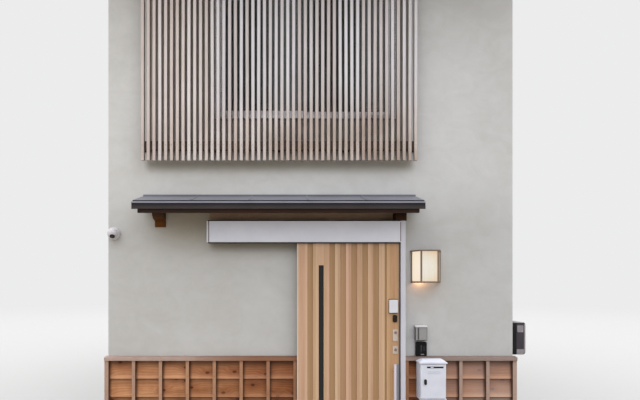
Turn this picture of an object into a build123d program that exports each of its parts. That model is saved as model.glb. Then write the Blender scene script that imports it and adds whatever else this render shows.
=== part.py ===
from build123d import *
from math import atan, cos, radians, sin
import os

# Machiya townhouse: two bays wide and four deep, two storeys, gable roof with its ridge along the street.
# Millimetres. X runs along the street to the viewer's right, Y into the house, Z up.
# The origin is on the ground under the middle of the house.

# House
house_width = 3775
house_depth = 7430
wall_thickness = 135
plinth_height = 150
floor_height = 50
storey_height = 2750
upper_floor_thickness = 150
upper_wall_height = 2550

# Main roof: heights are taken at the underside of the rafters
roof_slope_ratio = 0.4
eaves_overhang = 600
verge_overhang = 150
rafter_width = 60
rafter_depth = 90
rafter_pitch = 455
rafter_end_gap = 6
ridge_beam_width = 120
ridge_beam_depth = 240
deck_thickness = 24
roof_sheet_thickness = 12
roof_sheet_drip = 15
roof_sheet_edge = 8
roof_sheet_drop = 60
fascia_thickness = 30
fascia_drop = 20
barge_thickness = 30
barge_depth = 190
ridge_cap_flange = 170
ridge_cap_thickness = 10
ridge_cap_width = 110
ridge_cap_height = 75
ridge_cap_chamfer = 18

# Wainscot of lapped boards, battens and a sloping cap, on the front and the back
wainscot_bottom = 115
cap_bottom = 1140
cap_front_height = 30
cap_back_height = 39
cap_out = 60
board_rows = 6
board_top_out = 12
board_lap_out = 26
batten_width = 30
batten_pitch = 249
batten_out = 48
corner_post_width = 38
corner_wrap = 20
corner_return = 45

# Doorway and the single sliding door that hangs outside the wall
door_left = -126
door_width = 938
door_bottom = 50
door_thickness = 32
door_clearance = 5
door_travel = 780
door_into_header = 60
doorway_top = 2150
doorway_lap = 50
jamb_width = 42
jamb_out = 130
jamb_over_header = 4
lining_thickness = 25
lining_proud = 10
header_over_doorway = 80
header_height = 191
header_end_room = 38
header_sheet = 4
track_under_header_top = 85
track_thickness = 6
track_out = 64
track_back = 4
roller_radius = 20
roller_width = 18
roller_inset = 130
roller_run_gap = 0.3
hanger_plate = 6
hanger_width = 60
axle_radius = 6
sill_out = 112
sill_height = 40
sill_groove_width = 10
sill_groove_depth = 5

# Face of the sliding leaf: upright recesses, with a glass slit in place of the second one
groove_pitch = 100.4
groove_first = 120
groove_width = 50
groove_depth = 7
groove_count = 7
slit_place = 1
slit_width = 44
slit_bottom = 320
slit_top = 2020
glass_thickness = 12
stile_groove_inset = 128
stile_groove_width = 16

# Handle and locks, each with its middle this far in from the leaf's closing edge
handle_inset = 50
handle_bottom = 520
handle_top = 1122
handle_radius = 12.5
handle_standoff = 42
handle_post_radius = 8
handle_post_inset = 60
lock_body_inset = 66
lock_body_z = 1647
lock_body_width = 87
lock_body_height = 122
lock_body_depth = 26
lock_body_fillet = 9
thumb_inset = 44
thumb_z = 1533
thumb_width = 40
thumb_height = 66
thumb_depth = 12
plate_inset = 41
plate_width = 46
plate_depth = 8
upper_plate_z = 1380
upper_plate_height = 108
lower_plate_z = 1246
lower_plate_height = 70

# Windows: two sliding sashes in an aluminium frame
window_width = 1690
window_x = -48
upper_sill_rise = 640
upper_window_height = 1370
back_sill_rise = 1200
back_window_height = 900
frame_face = 32
frame_proud = 20
frame_depth = 100
sash_stile = 36
sash_rail = 48
sash_depth = 26
sash_gap = 4
sash_setback = 6
pane_thickness = 5

# The lattice and the pent roof under it share one middle line
street_bay_x = -290

# Upper lattice of upright slats on two rails
slat_count = 48
slat_pitch = 52.97
slat_width = 30
slat_depth = 32
slat_length = 1984
lattice_rise = 226
lattice_out = 120
rail_depth = 40
rail_height = 80
rail_notch = 10
rail_inset = 140
lattice_bracket_width = 60
lattice_bracket_count = 5

# Pent roof over the ground floor, its fascia ending a little above the door's header
pent_width = 2545
pent_out = 343
pent_over_header = 49
pent_edge_rise = 98
pent_wall_rise = 94
pent_sheet_thickness = 10
pent_sheet_edge = 6
pent_sheet_drop = 66
pent_flashing_height = 22
pent_flashing_thickness = 4
pent_inset = 48
pent_fascia_setback = 8
pent_board = 22
pent_ledger_height = 60
pent_ledger_out = 34
pent_purlin_width = 45
pent_purlin_height = 60
pent_bracket_width = 100
pent_bracket_inset = 162.5
pent_bracket_out = 124
pent_bracket_nose = 6
pent_bracket_curve = 92
pent_bracket_leg = 12
pent_bracket_tail = 60

# Wall lamp: half a hexagon on plan, open below
lamp_from_jamb = 215
lamp_bottom = 1860
lamp_height = 300
lamp_back_width = 274
lamp_front_width = 166
lamp_out = 150
lamp_bar = 14
lamp_lid_overhang = 8
lamp_lid_thickness = 12
lamp_pane_thickness = 3

# Fittings on the wall: the intercom stands on the wainscot cap, with the outlet cover above it
intercom_from_jamb = 170
intercom_over_cap = 1
intercom_width = 100
intercom_height = 130
intercom_out = 26
intercom_fillet = 6
outlet_from_jamb = 162
outlet_over_intercom = 17
outlet_width = 108
outlet_height = 137
outlet_out = 60
outlet_hood_drop = 14
outlet_hood_lip = 6
outlet_hood_thickness = 8
camera_corner_gap = 1.5
camera_z = 2318
camera_base_radius = 58
camera_base_depth = 52
camera_base_taper = 12
camera_ball_radius = 46
camera_ball_out = 56
camera_lens_radius = 22
camera_lens_out = 4
camera_lens_tilt = 45
meter_bottom = 1186
meter_height = 302
meter_width = 180
meter_out = 130
meter_setback = 20
meter_fillet = 12

# Mailbox in front of the wainscot, with a door hinged on its right edge
mailbox_from_jamb = 115
mailbox_under_cap = 6
mailbox_width = 241
mailbox_height = 322
mailbox_depth = 105
mailbox_sheet = 5
mailbox_gap = 5
mailbox_door_thickness = 16
mailbox_door_fillet = 10
mailbox_lid_overhang = 5
mailbox_lid_edge = 12
mailbox_lid_rise = 24
mailbox_lid_taper = 55
mailbox_pivot_inset = 12
mailbox_pivot_radius = 4
mailbox_pivot_gap = 0.3
mail_slot_from_right = 103
mail_slot_under_top = 32
mail_slot_width = 150
mail_slot_height = 16
mail_slot_depth = 5
mail_lock_from_left = 54
mail_lock_rise = 173
mail_lock_radius = 9
mail_lock_out = 3

# Places that follow from the sizes above
half_width = house_width / 2
half_depth = house_depth / 2
inner_x = half_width - wall_thickness
inner_y = half_depth - wall_thickness
eaves_height = storey_height + upper_wall_height
upper_window_sill = storey_height + upper_sill_rise
back_window_sill = floor_height + back_sill_rise
door_right = door_left + door_width
door_back_out = cap_out + door_clearance
door_front_out = door_back_out + door_thickness
jamb_left = door_right + door_clearance
jamb_right = jamb_left + jamb_width
doorway_left = door_left + doorway_lap
doorway_right = jamb_left
header_left = door_left - door_travel - header_end_room
header_bottom = doorway_top + header_over_doorway
header_top = header_bottom + header_height
door_top = header_bottom + door_into_header
jamb_top = header_top + jamb_over_header
track_top = header_top - track_under_header_top
slope = atan(roof_slope_ratio)
rafter_rise = rafter_depth / cos(slope)
deck_rise = rafter_rise + deck_thickness / cos(slope)
sheet_rise = deck_rise + roof_sheet_thickness / cos(slope)
rafter_end = half_depth + eaves_overhang
deck_end = rafter_end + fascia_thickness
sheet_end = deck_end + roof_sheet_drip
deck_half_length = half_width + verge_overhang
sheet_half_length = deck_half_length + roof_sheet_drip
FRONT = -1
BACK = 1


def out_y(out, side=FRONT):
    # Y of a plane that stands this far out from the outer face of the front or the back wall
    return side * (half_depth + out)


def block(x_span, y_span, z_span, mode=Mode.ADD):
    # A square-edged piece between three pairs of faces
    spans = [sorted(span) for span in (x_span, y_span, z_span)]
    with Locations(tuple((low + high) / 2 for low, high in spans)):
        Box(*[high - low for low, high in spans], mode=mode)


def drawn(x, points, length, mode=Mode.ADD):
    # A piece of one section across the house, from points of Y and Z, drawn out along X
    plane = Plane.YZ.offset(x)
    with BuildSketch(plane) as section:
        Polygon(*points, align=None)
    extrude(section.sketch, amount=length, dir=plane.z_dir, mode=mode)


def wall_points(points, side=FRONT):
    # Points of distance out and height, turned into Y and Z
    return [(out_y(out, side), height) for out, height in points]


def rafter_underside(y):
    return eaves_height + (half_depth - abs(y)) * roof_slope_ratio


def roof_layer(side, y_from, y_to, low, high):
    # One layer of a roof slope, between two heights above the underside of the rafters
    return [
        (side * y_from, rafter_underside(y_from) + low),
        (side * y_to, rafter_underside(y_to) + low),
        (side * y_to, rafter_underside(y_to) + high),
        (side * y_from, rafter_underside(y_from) + high),
    ]


rafters_each_side = int((inner_x - rafter_width / 2) / rafter_pitch)
rafter_lines = [rafter_pitch * step for step in range(-rafters_each_side, rafters_each_side + 1)]


def rafter_row(side, mode=Mode.ADD):
    # Every rafter of one slope, from the ridge to the eaves
    for x in rafter_lines:
        section = roof_layer(side, rafter_end_gap / 2, rafter_end, 0, rafter_rise)
        drawn(x - rafter_width / 2, section, rafter_width, mode)


def long_wall(side, bottom):
    # A front or back wall between the side walls, up to the roof deck, with a pocket for each rafter
    section = [
        (side * inner_y, bottom),
        (side * half_depth, bottom),
        (side * half_depth, rafter_underside(half_depth) + rafter_rise),
        (side * inner_y, rafter_underside(inner_y) + rafter_rise),
    ]
    drawn(-inner_x, section, 2 * inner_x)
    rafter_row(side, mode=Mode.SUBTRACT)


def window_hole(side, sill, height):
    block(
        (window_x - window_width / 2, window_x + window_width / 2),
        (out_y(-wall_thickness, side), out_y(0, side)),
        (sill, sill + height),
        mode=Mode.SUBTRACT,
    )


# Foundation: a concrete plinth under all four walls, open at the doorway
with BuildPart() as foundation:
    block((-half_width, half_width), (-half_depth, half_depth), (0, plinth_height))
    block((-inner_x, inner_x), (-inner_y, inner_y), (0, plinth_height), mode=Mode.SUBTRACT)
    block((doorway_left, doorway_right), (out_y(0), -inner_y), (0, plinth_height), mode=Mode.SUBTRACT)
foundation.part.label = "foundation"
os.makedirs("parts", exist_ok=True)
export_step(foundation.part, "parts/foundation.step")

# Ground floor slab, which runs out through the doorway to the wall face
with BuildPart() as ground_floor:
    block((-inner_x, inner_x), (-inner_y, inner_y), (0, floor_height))
    block((doorway_left, doorway_right), (out_y(0), -inner_y), (0, floor_height))
ground_floor.part.label = "ground_floor"
export_step(ground_floor.part, "parts/ground_floor.step")

# Front wall beside and over the doorway
with BuildPart() as front_wall_left:
    block((-inner_x, doorway_left), (out_y(0), -inner_y), (plinth_height, storey_height))
front_wall_left.part.label = "front_wall_left"
export_step(front_wall_left.part, "parts/front_wall_left.step")

with BuildPart() as front_wall_right:
    block((doorway_right, inner_x), (out_y(0), -inner_y), (plinth_height, storey_height))
front_wall_right.part.label = "front_wall_right"
export_step(front_wall_right.part, "parts/front_wall_right.step")

with BuildPart() as front_wall_over_door:
    block((doorway_left, doorway_right), (out_y(0), -inner_y), (doorway_top, storey_height))
front_wall_over_door.part.label = "front_wall_over_door"
export_step(front_wall_over_door.part, "parts/front_wall_over_door.step")

# Front wall of the upper storey
with BuildPart() as front_wall_upper:
    long_wall(FRONT, storey_height)
    window_hole(FRONT, upper_window_sill, upper_window_height)
front_wall_upper.part.label = "front_wall_upper"
export_step(front_wall_upper.part, "parts/front_wall_upper.step")

# Back wall, two storeys in one, with a window on each
with BuildPart() as back_wall:
    long_wall(BACK, plinth_height)
    window_hole(BACK, upper_window_sill, upper_window_height)
    window_hole(BACK, back_window_sill, back_window_height)
back_wall.part.label = "back_wall"
export_step(back_wall.part, "parts/back_wall.step")


def gable_wall(x):
    # A party wall with a gable, from the plinth up to the roof deck
    top = rafter_underside(half_depth) + rafter_rise
    section = [
        (-half_depth, plinth_height),
        (half_depth, plinth_height),
        (half_depth, top),
        (0, rafter_underside(0) + rafter_rise),
        (-half_depth, top),
    ]
    drawn(x, section, wall_thickness)


with BuildPart() as left_wall:
    gable_wall(-half_width)
left_wall.part.label = "left_wall"
export_step(left_wall.part, "parts/left_wall.step")

with BuildPart() as right_wall:
    gable_wall(inner_x)
right_wall.part.label = "right_wall"
export_step(right_wall.part, "parts/right_wall.step")

# Upper floor
with BuildPart() as upper_floor:
    block((-inner_x, inner_x), (-inner_y, inner_y), (storey_height - upper_floor_thickness, storey_height))
upper_floor.part.label = "upper_floor"
export_step(upper_floor.part, "parts/upper_floor.step")

# Rafters of both slopes, which rest on the ridge beam and in the wall pockets
with BuildPart() as rafters:
    rafter_row(FRONT)
    rafter_row(BACK)
rafters.part.label = "rafters"
export_step(rafters.part, "parts/rafters.step")

# Ridge beam with its top cut to both slopes
with BuildPart() as ridge_beam:
    beam_side = ridge_beam_width / 2
    beam_bottom = rafter_underside(0) - ridge_beam_depth
    with BuildSketch(Plane.YZ.offset(-inner_x)):
        Polygon(
            (-beam_side, beam_bottom),
            (beam_side, beam_bottom),
            (beam_side, rafter_underside(beam_side)),
            (0, rafter_underside(0)),
            (-beam_side, rafter_underside(beam_side)),
            align=None,
        )
    extrude(amount=2 * inner_x)
ridge_beam.part.label = "ridge_beam"
export_step(ridge_beam.part, "parts/ridge_beam.step")


def roof_deck(side):
    drawn(-deck_half_length, roof_layer(side, 0, deck_end, rafter_rise, deck_rise), 2 * deck_half_length)


def roof_sheet(side):
    # Metal sheet on the deck, turned down along the eaves
    edge = sheet_end - roof_sheet_edge
    lip = rafter_underside(sheet_end) + sheet_rise - roof_sheet_drop
    section = [
        (0, rafter_underside(0) + deck_rise),
        (side * edge, rafter_underside(edge) + deck_rise),
        (side * edge, lip),
        (side * sheet_end, lip),
        (side * sheet_end, rafter_underside(sheet_end) + sheet_rise),
        (0, rafter_underside(0) + sheet_rise),
    ]
    drawn(-sheet_half_length, section, 2 * sheet_half_length)


with BuildPart() as roof_deck_front:
    roof_deck(FRONT)
roof_deck_front.part.label = "roof_deck_front"
export_step(roof_deck_front.part, "parts/roof_deck_front.step")

with BuildPart() as roof_deck_back:
    roof_deck(BACK)
roof_deck_back.part.label = "roof_deck_back"
export_step(roof_deck_back.part, "parts/roof_deck_back.step")

with BuildPart() as roof_sheet_front:
    roof_sheet(FRONT)
roof_sheet_front.part.label = "roof_sheet_front"
export_step(roof_sheet_front.part, "parts/roof_sheet_front.step")

with BuildPart() as roof_sheet_back:
    roof_sheet(BACK)
roof_sheet_back.part.label = "roof_sheet_back"
export_step(roof_sheet_back.part, "parts/roof_sheet_back.step")

# Ridge cap: flanges on both slopes and a raised box between them
with BuildPart() as ridge_cap:
    cap_side = ridge_cap_width / 2
    ridge_top = rafter_underside(0) + sheet_rise + ridge_cap_height
    flange_under = rafter_underside(ridge_cap_flange) + sheet_rise
    foot = rafter_underside(cap_side) + sheet_rise + ridge_cap_thickness
    with BuildSketch(Plane.YZ.offset(-sheet_half_length)):
        Polygon(
            (-ridge_cap_flange, flange_under),
            (0, rafter_underside(0) + sheet_rise),
            (ridge_cap_flange, flange_under),
            (ridge_cap_flange, flange_under + ridge_cap_thickness),
            (cap_side, foot),
            (cap_side, ridge_top - ridge_cap_chamfer),
            (cap_side - ridge_cap_chamfer, ridge_top),
            (ridge_cap_chamfer - cap_side, ridge_top),
            (-cap_side, ridge_top - ridge_cap_chamfer),
            (-cap_side, foot),
            (-ridge_cap_flange, flange_under + ridge_cap_thickness),
            align=None,
        )
    extrude(amount=2 * sheet_half_length)
ridge_cap.part.label = "ridge_cap"
export_step(ridge_cap.part, "parts/ridge_cap.step")

# Bargeboards under both verges, each a pair that meets at the ridge
with BuildPart() as bargeboards:
    top_ends = rafter_underside(deck_end) + rafter_rise
    top_ridge = rafter_underside(0) + rafter_rise
    for x in (-deck_half_length, deck_half_length - barge_thickness):
        with BuildSketch(Plane.YZ.offset(x)):
            Polygon(
                (-deck_end, top_ends - barge_depth),
                (0, top_ridge - barge_depth),
                (deck_end, top_ends - barge_depth),
                (deck_end, top_ends),
                (0, top_ridge),
                (-deck_end, top_ends),
                align=None,
            )
        extrude(amount=barge_thickness)
bargeboards.part.label = "bargeboards"
export_step(bargeboards.part, "parts/bargeboards.step")

# Fascia board over the rafter ends at both eaves
with BuildPart() as eaves_fascias:
    fascia_half_length = deck_half_length - barge_thickness
    fascia_bottom = rafter_underside(rafter_end) - fascia_drop
    for side in (FRONT, BACK):
        with BuildSketch(Plane.YZ.offset(-fascia_half_length)):
            Polygon(
                (side * rafter_end, fascia_bottom),
                (side * deck_end, fascia_bottom),
                (side * deck_end, rafter_underside(deck_end) + rafter_rise),
                (side * rafter_end, rafter_underside(rafter_end) + rafter_rise),
                align=None,
            )
        extrude(amount=2 * fascia_half_length)
eaves_fascias.part.label = "eaves_fascias"
export_step(eaves_fascias.part, "parts/eaves_fascias.step")

# Wainscot
post_inner = half_width + corner_wrap - corner_post_width
left_run = (-post_inner, doorway_left)
right_run = (jamb_right, post_inner)
back_run = (-post_inner, post_inner)
lap_height = (cap_bottom - wainscot_bottom) / board_rows


def lap_line():
    # Down the face of the boards: each leans out to its lower edge, over the top of the next
    points = []
    for row in range(board_rows):
        top = cap_bottom - row * lap_height
        points.append((board_top_out, top))
        points.append((board_lap_out, top - lap_height))
    return points


def board_run(run, side):
    section = [(0, cap_bottom)] + lap_line() + [(0, wainscot_bottom)]
    drawn(run[0], wall_points(section, side), run[1] - run[0])


def batten(x, side):
    # Notched at the back to sit on the laps
    section = lap_line() + [(batten_out, wainscot_bottom), (batten_out, cap_bottom)]
    drawn(x - batten_width / 2, wall_points(section, side), batten_width)


def corner_post(x_side, side):
    # Stands on the corner and returns a little along the party wall
    outer = x_side * (half_width + corner_wrap)
    heights = (wainscot_bottom, cap_bottom)
    block((outer, x_side * post_inner), (out_y(0, side), out_y(batten_out, side)), heights)
    block((outer, x_side * half_width), (out_y(-corner_return, side), out_y(0, side)), heights)


def cap_run(run, side):
    section = [
        (0, cap_bottom),
        (cap_out, cap_bottom),
        (cap_out, cap_bottom + cap_front_height),
        (0, cap_bottom + cap_back_height),
    ]
    drawn(run[0], wall_points(section, side), run[1] - run[0])


def cap_return(x_side, side):
    outer = x_side * (half_width + corner_wrap)
    heights = (cap_bottom, cap_bottom + cap_front_height)
    block((outer, x_side * half_width), (out_y(-corner_return, side), out_y(0, side)), heights)


left_bays = int((half_width + doorway_left) / batten_pitch)
right_bays = int((half_width - jamb_right) / batten_pitch)
left_battens = [-half_width + batten_pitch * step for step in range(1, left_bays + 1)]
right_battens = [half_width - batten_pitch * step for step in range(1, right_bays + 1)]
back_bays = round(house_width / batten_pitch)
back_battens = [-half_width + house_width / back_bays * step for step in range(1, back_bays)]

with BuildPart() as wainscot_boards:
    board_run(left_run, FRONT)
    board_run(right_run, FRONT)
    board_run(back_run, BACK)
wainscot_boards.part.label = "wainscot_boards"
export_step(wainscot_boards.part, "parts/wainscot_boards.step")

with BuildPart() as wainscot_battens:
    for x in left_battens + right_battens:
        batten(x, FRONT)
    for x in back_battens:
        batten(x, BACK)
    for side in (FRONT, BACK):
        corner_post(-1, side)
        corner_post(1, side)
wainscot_battens.part.label = "wainscot_battens"
export_step(wainscot_battens.part, "parts/wainscot_battens.step")

with BuildPart() as wainscot_cap:
    corner_end = half_width + corner_wrap
    cap_run((-corner_end, doorway_left), FRONT)
    cap_run((jamb_right, corner_end), FRONT)
    cap_run((-corner_end, corner_end), BACK)
    for side in (FRONT, BACK):
        cap_return(-1, side)
        cap_return(1, side)
wainscot_cap.part.label = "wainscot_cap"
export_step(wainscot_cap.part, "parts/wainscot_cap.step")


# Windows
def window_ring(x_span, z_span, out_span, side, stile, rail):
    # A flat frame with its hole: upright members of one width, level members of another
    y_span = (out_y(out_span[0], side), out_y(out_span[1], side))
    block(x_span, y_span, z_span)
    inner_span = (x_span[0] + stile, x_span[1] - stile)
    block(inner_span, y_span, (z_span[0] + rail, z_span[1] - rail), mode=Mode.SUBTRACT)


def window_places():
    # Side of the house, sill height and height of each window
    return [
        (FRONT, upper_window_sill, upper_window_height),
        (BACK, upper_window_sill, upper_window_height),
        (BACK, back_window_sill, back_window_height),
    ]


def sash_places():
    # Span, heights and outer face of each sash: the left one stands in the outer track
    clear_left = window_x - window_width / 2 + frame_face
    clear_right = window_x + window_width / 2 - frame_face
    sash_width = (clear_right - clear_left + sash_stile) / 2
    inner_track = sash_setback + sash_depth + sash_gap
    places = []
    for side, sill, height in window_places():
        heights = (sill + frame_face, sill + height - frame_face)
        places.append((side, (clear_left, clear_left + sash_width), heights, -sash_setback))
        places.append((side, (clear_right - sash_width, clear_right), heights, -inner_track))
    return places


with BuildPart() as window_frames:
    for side, sill, height in window_places():
        x_span = (window_x - window_width / 2, window_x + window_width / 2)
        out_span = (frame_proud - frame_depth, frame_proud)
        window_ring(x_span, (sill, sill + height), out_span, side, frame_face, frame_face)
window_frames.part.label = "window_frames"
export_step(window_frames.part, "parts/window_frames.step")

with BuildPart() as window_sashes:
    for side, x_span, z_span, face in sash_places():
        window_ring(x_span, z_span, (face - sash_depth, face), side, sash_stile, sash_rail)
window_sashes.part.label = "window_sashes"
export_step(window_sashes.part, "parts/window_sashes.step")

with BuildPart() as window_glass:
    for side, x_span, z_span, face in sash_places():
        pane_face = face - (sash_depth - pane_thickness) / 2
        block(
            (x_span[0] + sash_stile, x_span[1] - sash_stile),
            (out_y(pane_face, side), out_y(pane_face - pane_thickness, side)),
            (z_span[0] + sash_rail, z_span[1] - sash_rail),
        )
window_glass.part.label = "window_glass"
export_step(window_glass.part, "parts/window_glass.step")

# Upper lattice: upright slats let into two rails behind them
lattice_half_width = slat_pitch * (slat_count - 1) / 2 + slat_width / 2
lattice_left = street_bay_x - lattice_half_width
lattice_bottom = storey_height + lattice_rise
lattice_top = lattice_bottom + slat_length
slat_back_out = lattice_out - slat_depth
rail_front_out = slat_back_out + rail_notch
rail_back_out = rail_front_out - rail_depth
rail_middles = (lattice_bottom + rail_inset, lattice_top - rail_inset)
rail_heights = [(z - rail_height / 2, z + rail_height / 2) for z in rail_middles]

with BuildPart() as lattice:
    for z_span in rail_heights:
        x_span = (lattice_left, street_bay_x + lattice_half_width)
        block(x_span, (out_y(rail_back_out), out_y(rail_front_out)), z_span)
    with BuildSketch(Plane.XY.offset(lattice_bottom)):
        with Locations((street_bay_x, out_y(lattice_out - slat_depth / 2))):
            with GridLocations(slat_pitch, 0, slat_count, 1):
                Rectangle(slat_width, slat_depth)
    extrude(amount=slat_length)
lattice.part.label = "lattice"
export_step(lattice.part, "parts/lattice.step")

# Blocks that hold the lattice rails off the wall
with BuildPart() as lattice_brackets:
    bracket_span = 2 * lattice_half_width - lattice_bracket_width
    bracket_step = bracket_span / (lattice_bracket_count - 1)
    for z_span in rail_heights:
        for step in range(lattice_bracket_count):
            left = lattice_left + step * bracket_step
            block((left, left + lattice_bracket_width), (out_y(0), out_y(rail_back_out)), z_span)
lattice_brackets.part.label = "lattice_brackets"
export_step(lattice_brackets.part, "parts/lattice_brackets.step")

# Pent roof: a metal sheet over sloping boards, carried by a ledger on the wall and a purlin on two brackets
pent_left = street_bay_x - pent_width / 2
pent_right = street_bay_x + pent_width / 2
pent_fascia_bottom = header_top + pent_over_header
pent_edge_height = pent_fascia_bottom + pent_edge_rise
pent_wall_height = pent_edge_height + pent_wall_rise
pent_fall = pent_wall_rise / pent_out


def pent_top(out):
    return pent_wall_height - out * pent_fall


def pent_under_sheet(out):
    return pent_top(out) - pent_sheet_thickness


def pent_under_boards(out):
    return pent_under_sheet(out) - pent_board


pent_purlin_bottom = pent_under_boards(pent_bracket_out) - pent_purlin_height


with BuildPart() as pent_roof_sheet:
    edge_out = pent_out - pent_sheet_edge
    lip = pent_edge_height - pent_sheet_drop
    section = [
        (0, pent_wall_height + pent_flashing_height),
        (pent_flashing_thickness, pent_wall_height + pent_flashing_height),
        (pent_flashing_thickness, pent_top(pent_flashing_thickness)),
        (pent_out, pent_edge_height),
        (pent_out, lip),
        (edge_out, lip),
        (edge_out, pent_under_sheet(edge_out)),
        (0, pent_under_sheet(0)),
    ]
    drawn(pent_left, wall_points(section), pent_width)
    end_section = [
        (0, pent_under_sheet(0)),
        (edge_out, pent_under_sheet(edge_out)),
        (edge_out, lip),
        (0, pent_wall_height - pent_sheet_drop),
    ]
    for x in (pent_left, pent_right - pent_sheet_edge):
        drawn(x, wall_points(end_section), pent_sheet_edge)
pent_roof_sheet.part.label = "pent_roof_sheet"
export_step(pent_roof_sheet.part, "parts/pent_roof_sheet.step")

with BuildPart() as pent_roof_frame:
    fascia_out = pent_out - pent_sheet_edge - pent_fascia_setback
    frame_left = pent_left + pent_inset
    frame_width = pent_width - 2 * pent_inset
    inner_out = fascia_out - pent_board
    purlin_back = pent_bracket_out - pent_purlin_width
    ledger_bottom = pent_under_boards(0) - pent_ledger_height
    section = [
        (0, ledger_bottom),
        (pent_ledger_out, ledger_bottom),
        (pent_ledger_out, pent_under_boards(pent_ledger_out)),
        (purlin_back, pent_under_boards(purlin_back)),
        (purlin_back, pent_purlin_bottom),
        (pent_bracket_out, pent_purlin_bottom),
        (pent_bracket_out, pent_under_boards(pent_bracket_out)),
        (inner_out, pent_under_boards(inner_out)),
        (inner_out, pent_fascia_bottom),
        (fascia_out, pent_fascia_bottom),
        (fascia_out, pent_under_sheet(fascia_out)),
        (0, pent_under_sheet(0)),
    ]
    drawn(frame_left, wall_points(section), frame_width)
    fascia_depth = pent_under_sheet(inner_out) - pent_fascia_bottom
    end_section = [
        (0, pent_under_sheet(0) - fascia_depth),
        (inner_out, pent_fascia_bottom),
        (inner_out, pent_under_sheet(inner_out)),
        (0, pent_under_sheet(0)),
    ]
    for x in (frame_left, frame_left + frame_width - pent_board):
        drawn(x, wall_points(end_section), pent_board)
pent_roof_frame.part.label = "pent_roof_frame"
export_step(pent_roof_frame.part, "parts/pent_roof_frame.step")


# Brackets under the purlin: the left one rounded down to a short leg, the right one on the jamb
with BuildPart() as pent_roof_brackets:
    curve_top = pent_purlin_bottom - pent_bracket_nose
    curve_bottom = curve_top - pent_bracket_curve
    left_bracket_bottom = curve_bottom - pent_bracket_tail
    curve_reach = pent_bracket_out - pent_bracket_leg
    curve_share = sin(radians(45))
    with BuildSketch(Plane.YZ.offset(pent_left + pent_bracket_inset - pent_bracket_width / 2)):
        with BuildLine():
            ThreePointArc(
                (out_y(pent_bracket_leg), curve_bottom),
                (out_y(pent_bracket_leg + curve_reach * curve_share), curve_top - pent_bracket_curve * curve_share),
                (out_y(pent_bracket_out), curve_top),
            )
            Polyline(
                (out_y(pent_bracket_out), curve_top),
                (out_y(pent_bracket_out), pent_purlin_bottom),
                (out_y(0), pent_purlin_bottom),
                (out_y(0), left_bracket_bottom),
                (out_y(pent_bracket_leg), left_bracket_bottom),
                (out_y(pent_bracket_leg), curve_bottom),
            )
        make_face()
    extrude(amount=pent_bracket_width)
    right_section = [
        (0, jamb_top),
        (pent_bracket_out, jamb_top),
        (pent_bracket_out, pent_purlin_bottom),
        (0, pent_purlin_bottom),
    ]
    right_bracket_left = pent_right - pent_bracket_inset - pent_bracket_width / 2
    drawn(right_bracket_left, wall_points(right_section), pent_bracket_width)
pent_roof_brackets.part.label = "pent_roof_brackets"
export_step(pent_roof_brackets.part, "parts/pent_roof_brackets.step")

# Entrance: cover over the sliding gear, open below and closed at its right end by the jamb
with BuildPart() as door_header:
    block((header_left, jamb_left), (out_y(0), out_y(jamb_out)), (header_bottom, header_top))
    block(
        (header_left + header_sheet, jamb_left),
        (out_y(0), out_y(jamb_out - header_sheet)),
        (header_bottom, header_top - header_sheet),
        mode=Mode.SUBTRACT,
    )
door_header.part.label = "door_header"
export_step(door_header.part, "parts/door_header.step")

# Track inside the cover: a plate on the wall and a shelf that the rollers run on
with BuildPart() as door_track:
    track_span = (header_left + header_sheet, jamb_left)
    block(track_span, (out_y(0), out_y(track_back)), (header_bottom, header_top - header_sheet))
    block(track_span, (out_y(track_back), out_y(track_out)), (track_top - track_thickness, track_top))
door_track.part.label = "door_track"
export_step(door_track.part, "parts/door_track.step")

# Post that the leaf closes against
with BuildPart() as door_jamb:
    block((jamb_left, jamb_right), (out_y(0), out_y(jamb_out)), (0, jamb_top))
door_jamb.part.label = "door_jamb"
export_step(door_jamb.part, "parts/door_jamb.step")

# Lining of the doorway through the wall
with BuildPart() as door_lining:
    lining_y = (out_y(lining_proud), out_y(-wall_thickness - lining_proud))
    block((doorway_left, doorway_right), lining_y, (floor_height, doorway_top))
    block(
        (doorway_left + lining_thickness, doorway_right - lining_thickness),
        lining_y,
        (floor_height, doorway_top - lining_thickness),
        mode=Mode.SUBTRACT,
    )
door_lining.part.label = "door_lining"
export_step(door_lining.part, "parts/door_lining.step")

# Threshold rail under the whole run of the leaf
with BuildPart() as door_sill_rail:
    block((header_left, jamb_left), (out_y(0), out_y(sill_out)), (0, sill_height))
    groove_out = (door_back_out + door_front_out) / 2
    block(
        (header_left, jamb_left),
        (out_y(groove_out - sill_groove_width / 2), out_y(groove_out + sill_groove_width / 2)),
        (sill_height - sill_groove_depth, sill_height),
        mode=Mode.SUBTRACT,
    )
door_sill_rail.part.label = "door_sill_rail"
export_step(door_sill_rail.part, "parts/door_sill_rail.step")

# Sliding leaf with upright recesses in its face and a slit for glass
slit_x = door_left + groove_first + slit_place * groove_pitch
with BuildPart() as door_leaf:
    block((door_left, door_right), (out_y(door_back_out), out_y(door_front_out)), (door_bottom, door_top))
    recess_y = (out_y(door_front_out - groove_depth), out_y(door_front_out))
    for place in range(groove_count):
        if place != slit_place:
            x = door_left + groove_first + place * groove_pitch
            recess_x = (x - groove_width / 2, x + groove_width / 2)
            block(recess_x, recess_y, (door_bottom, door_top), mode=Mode.SUBTRACT)
    stile_x = door_right - stile_groove_inset
    stile_span = (stile_x - stile_groove_width / 2, stile_x + stile_groove_width / 2)
    block(stile_span, recess_y, (door_bottom, door_top), mode=Mode.SUBTRACT)
    block(
        (slit_x - slit_width / 2, slit_x + slit_width / 2),
        (out_y(door_back_out), out_y(door_front_out)),
        (slit_bottom, slit_top),
        mode=Mode.SUBTRACT,
    )
door_leaf.part.label = "door_leaf"
export_step(door_leaf.part, "parts/door_leaf.step")

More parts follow.
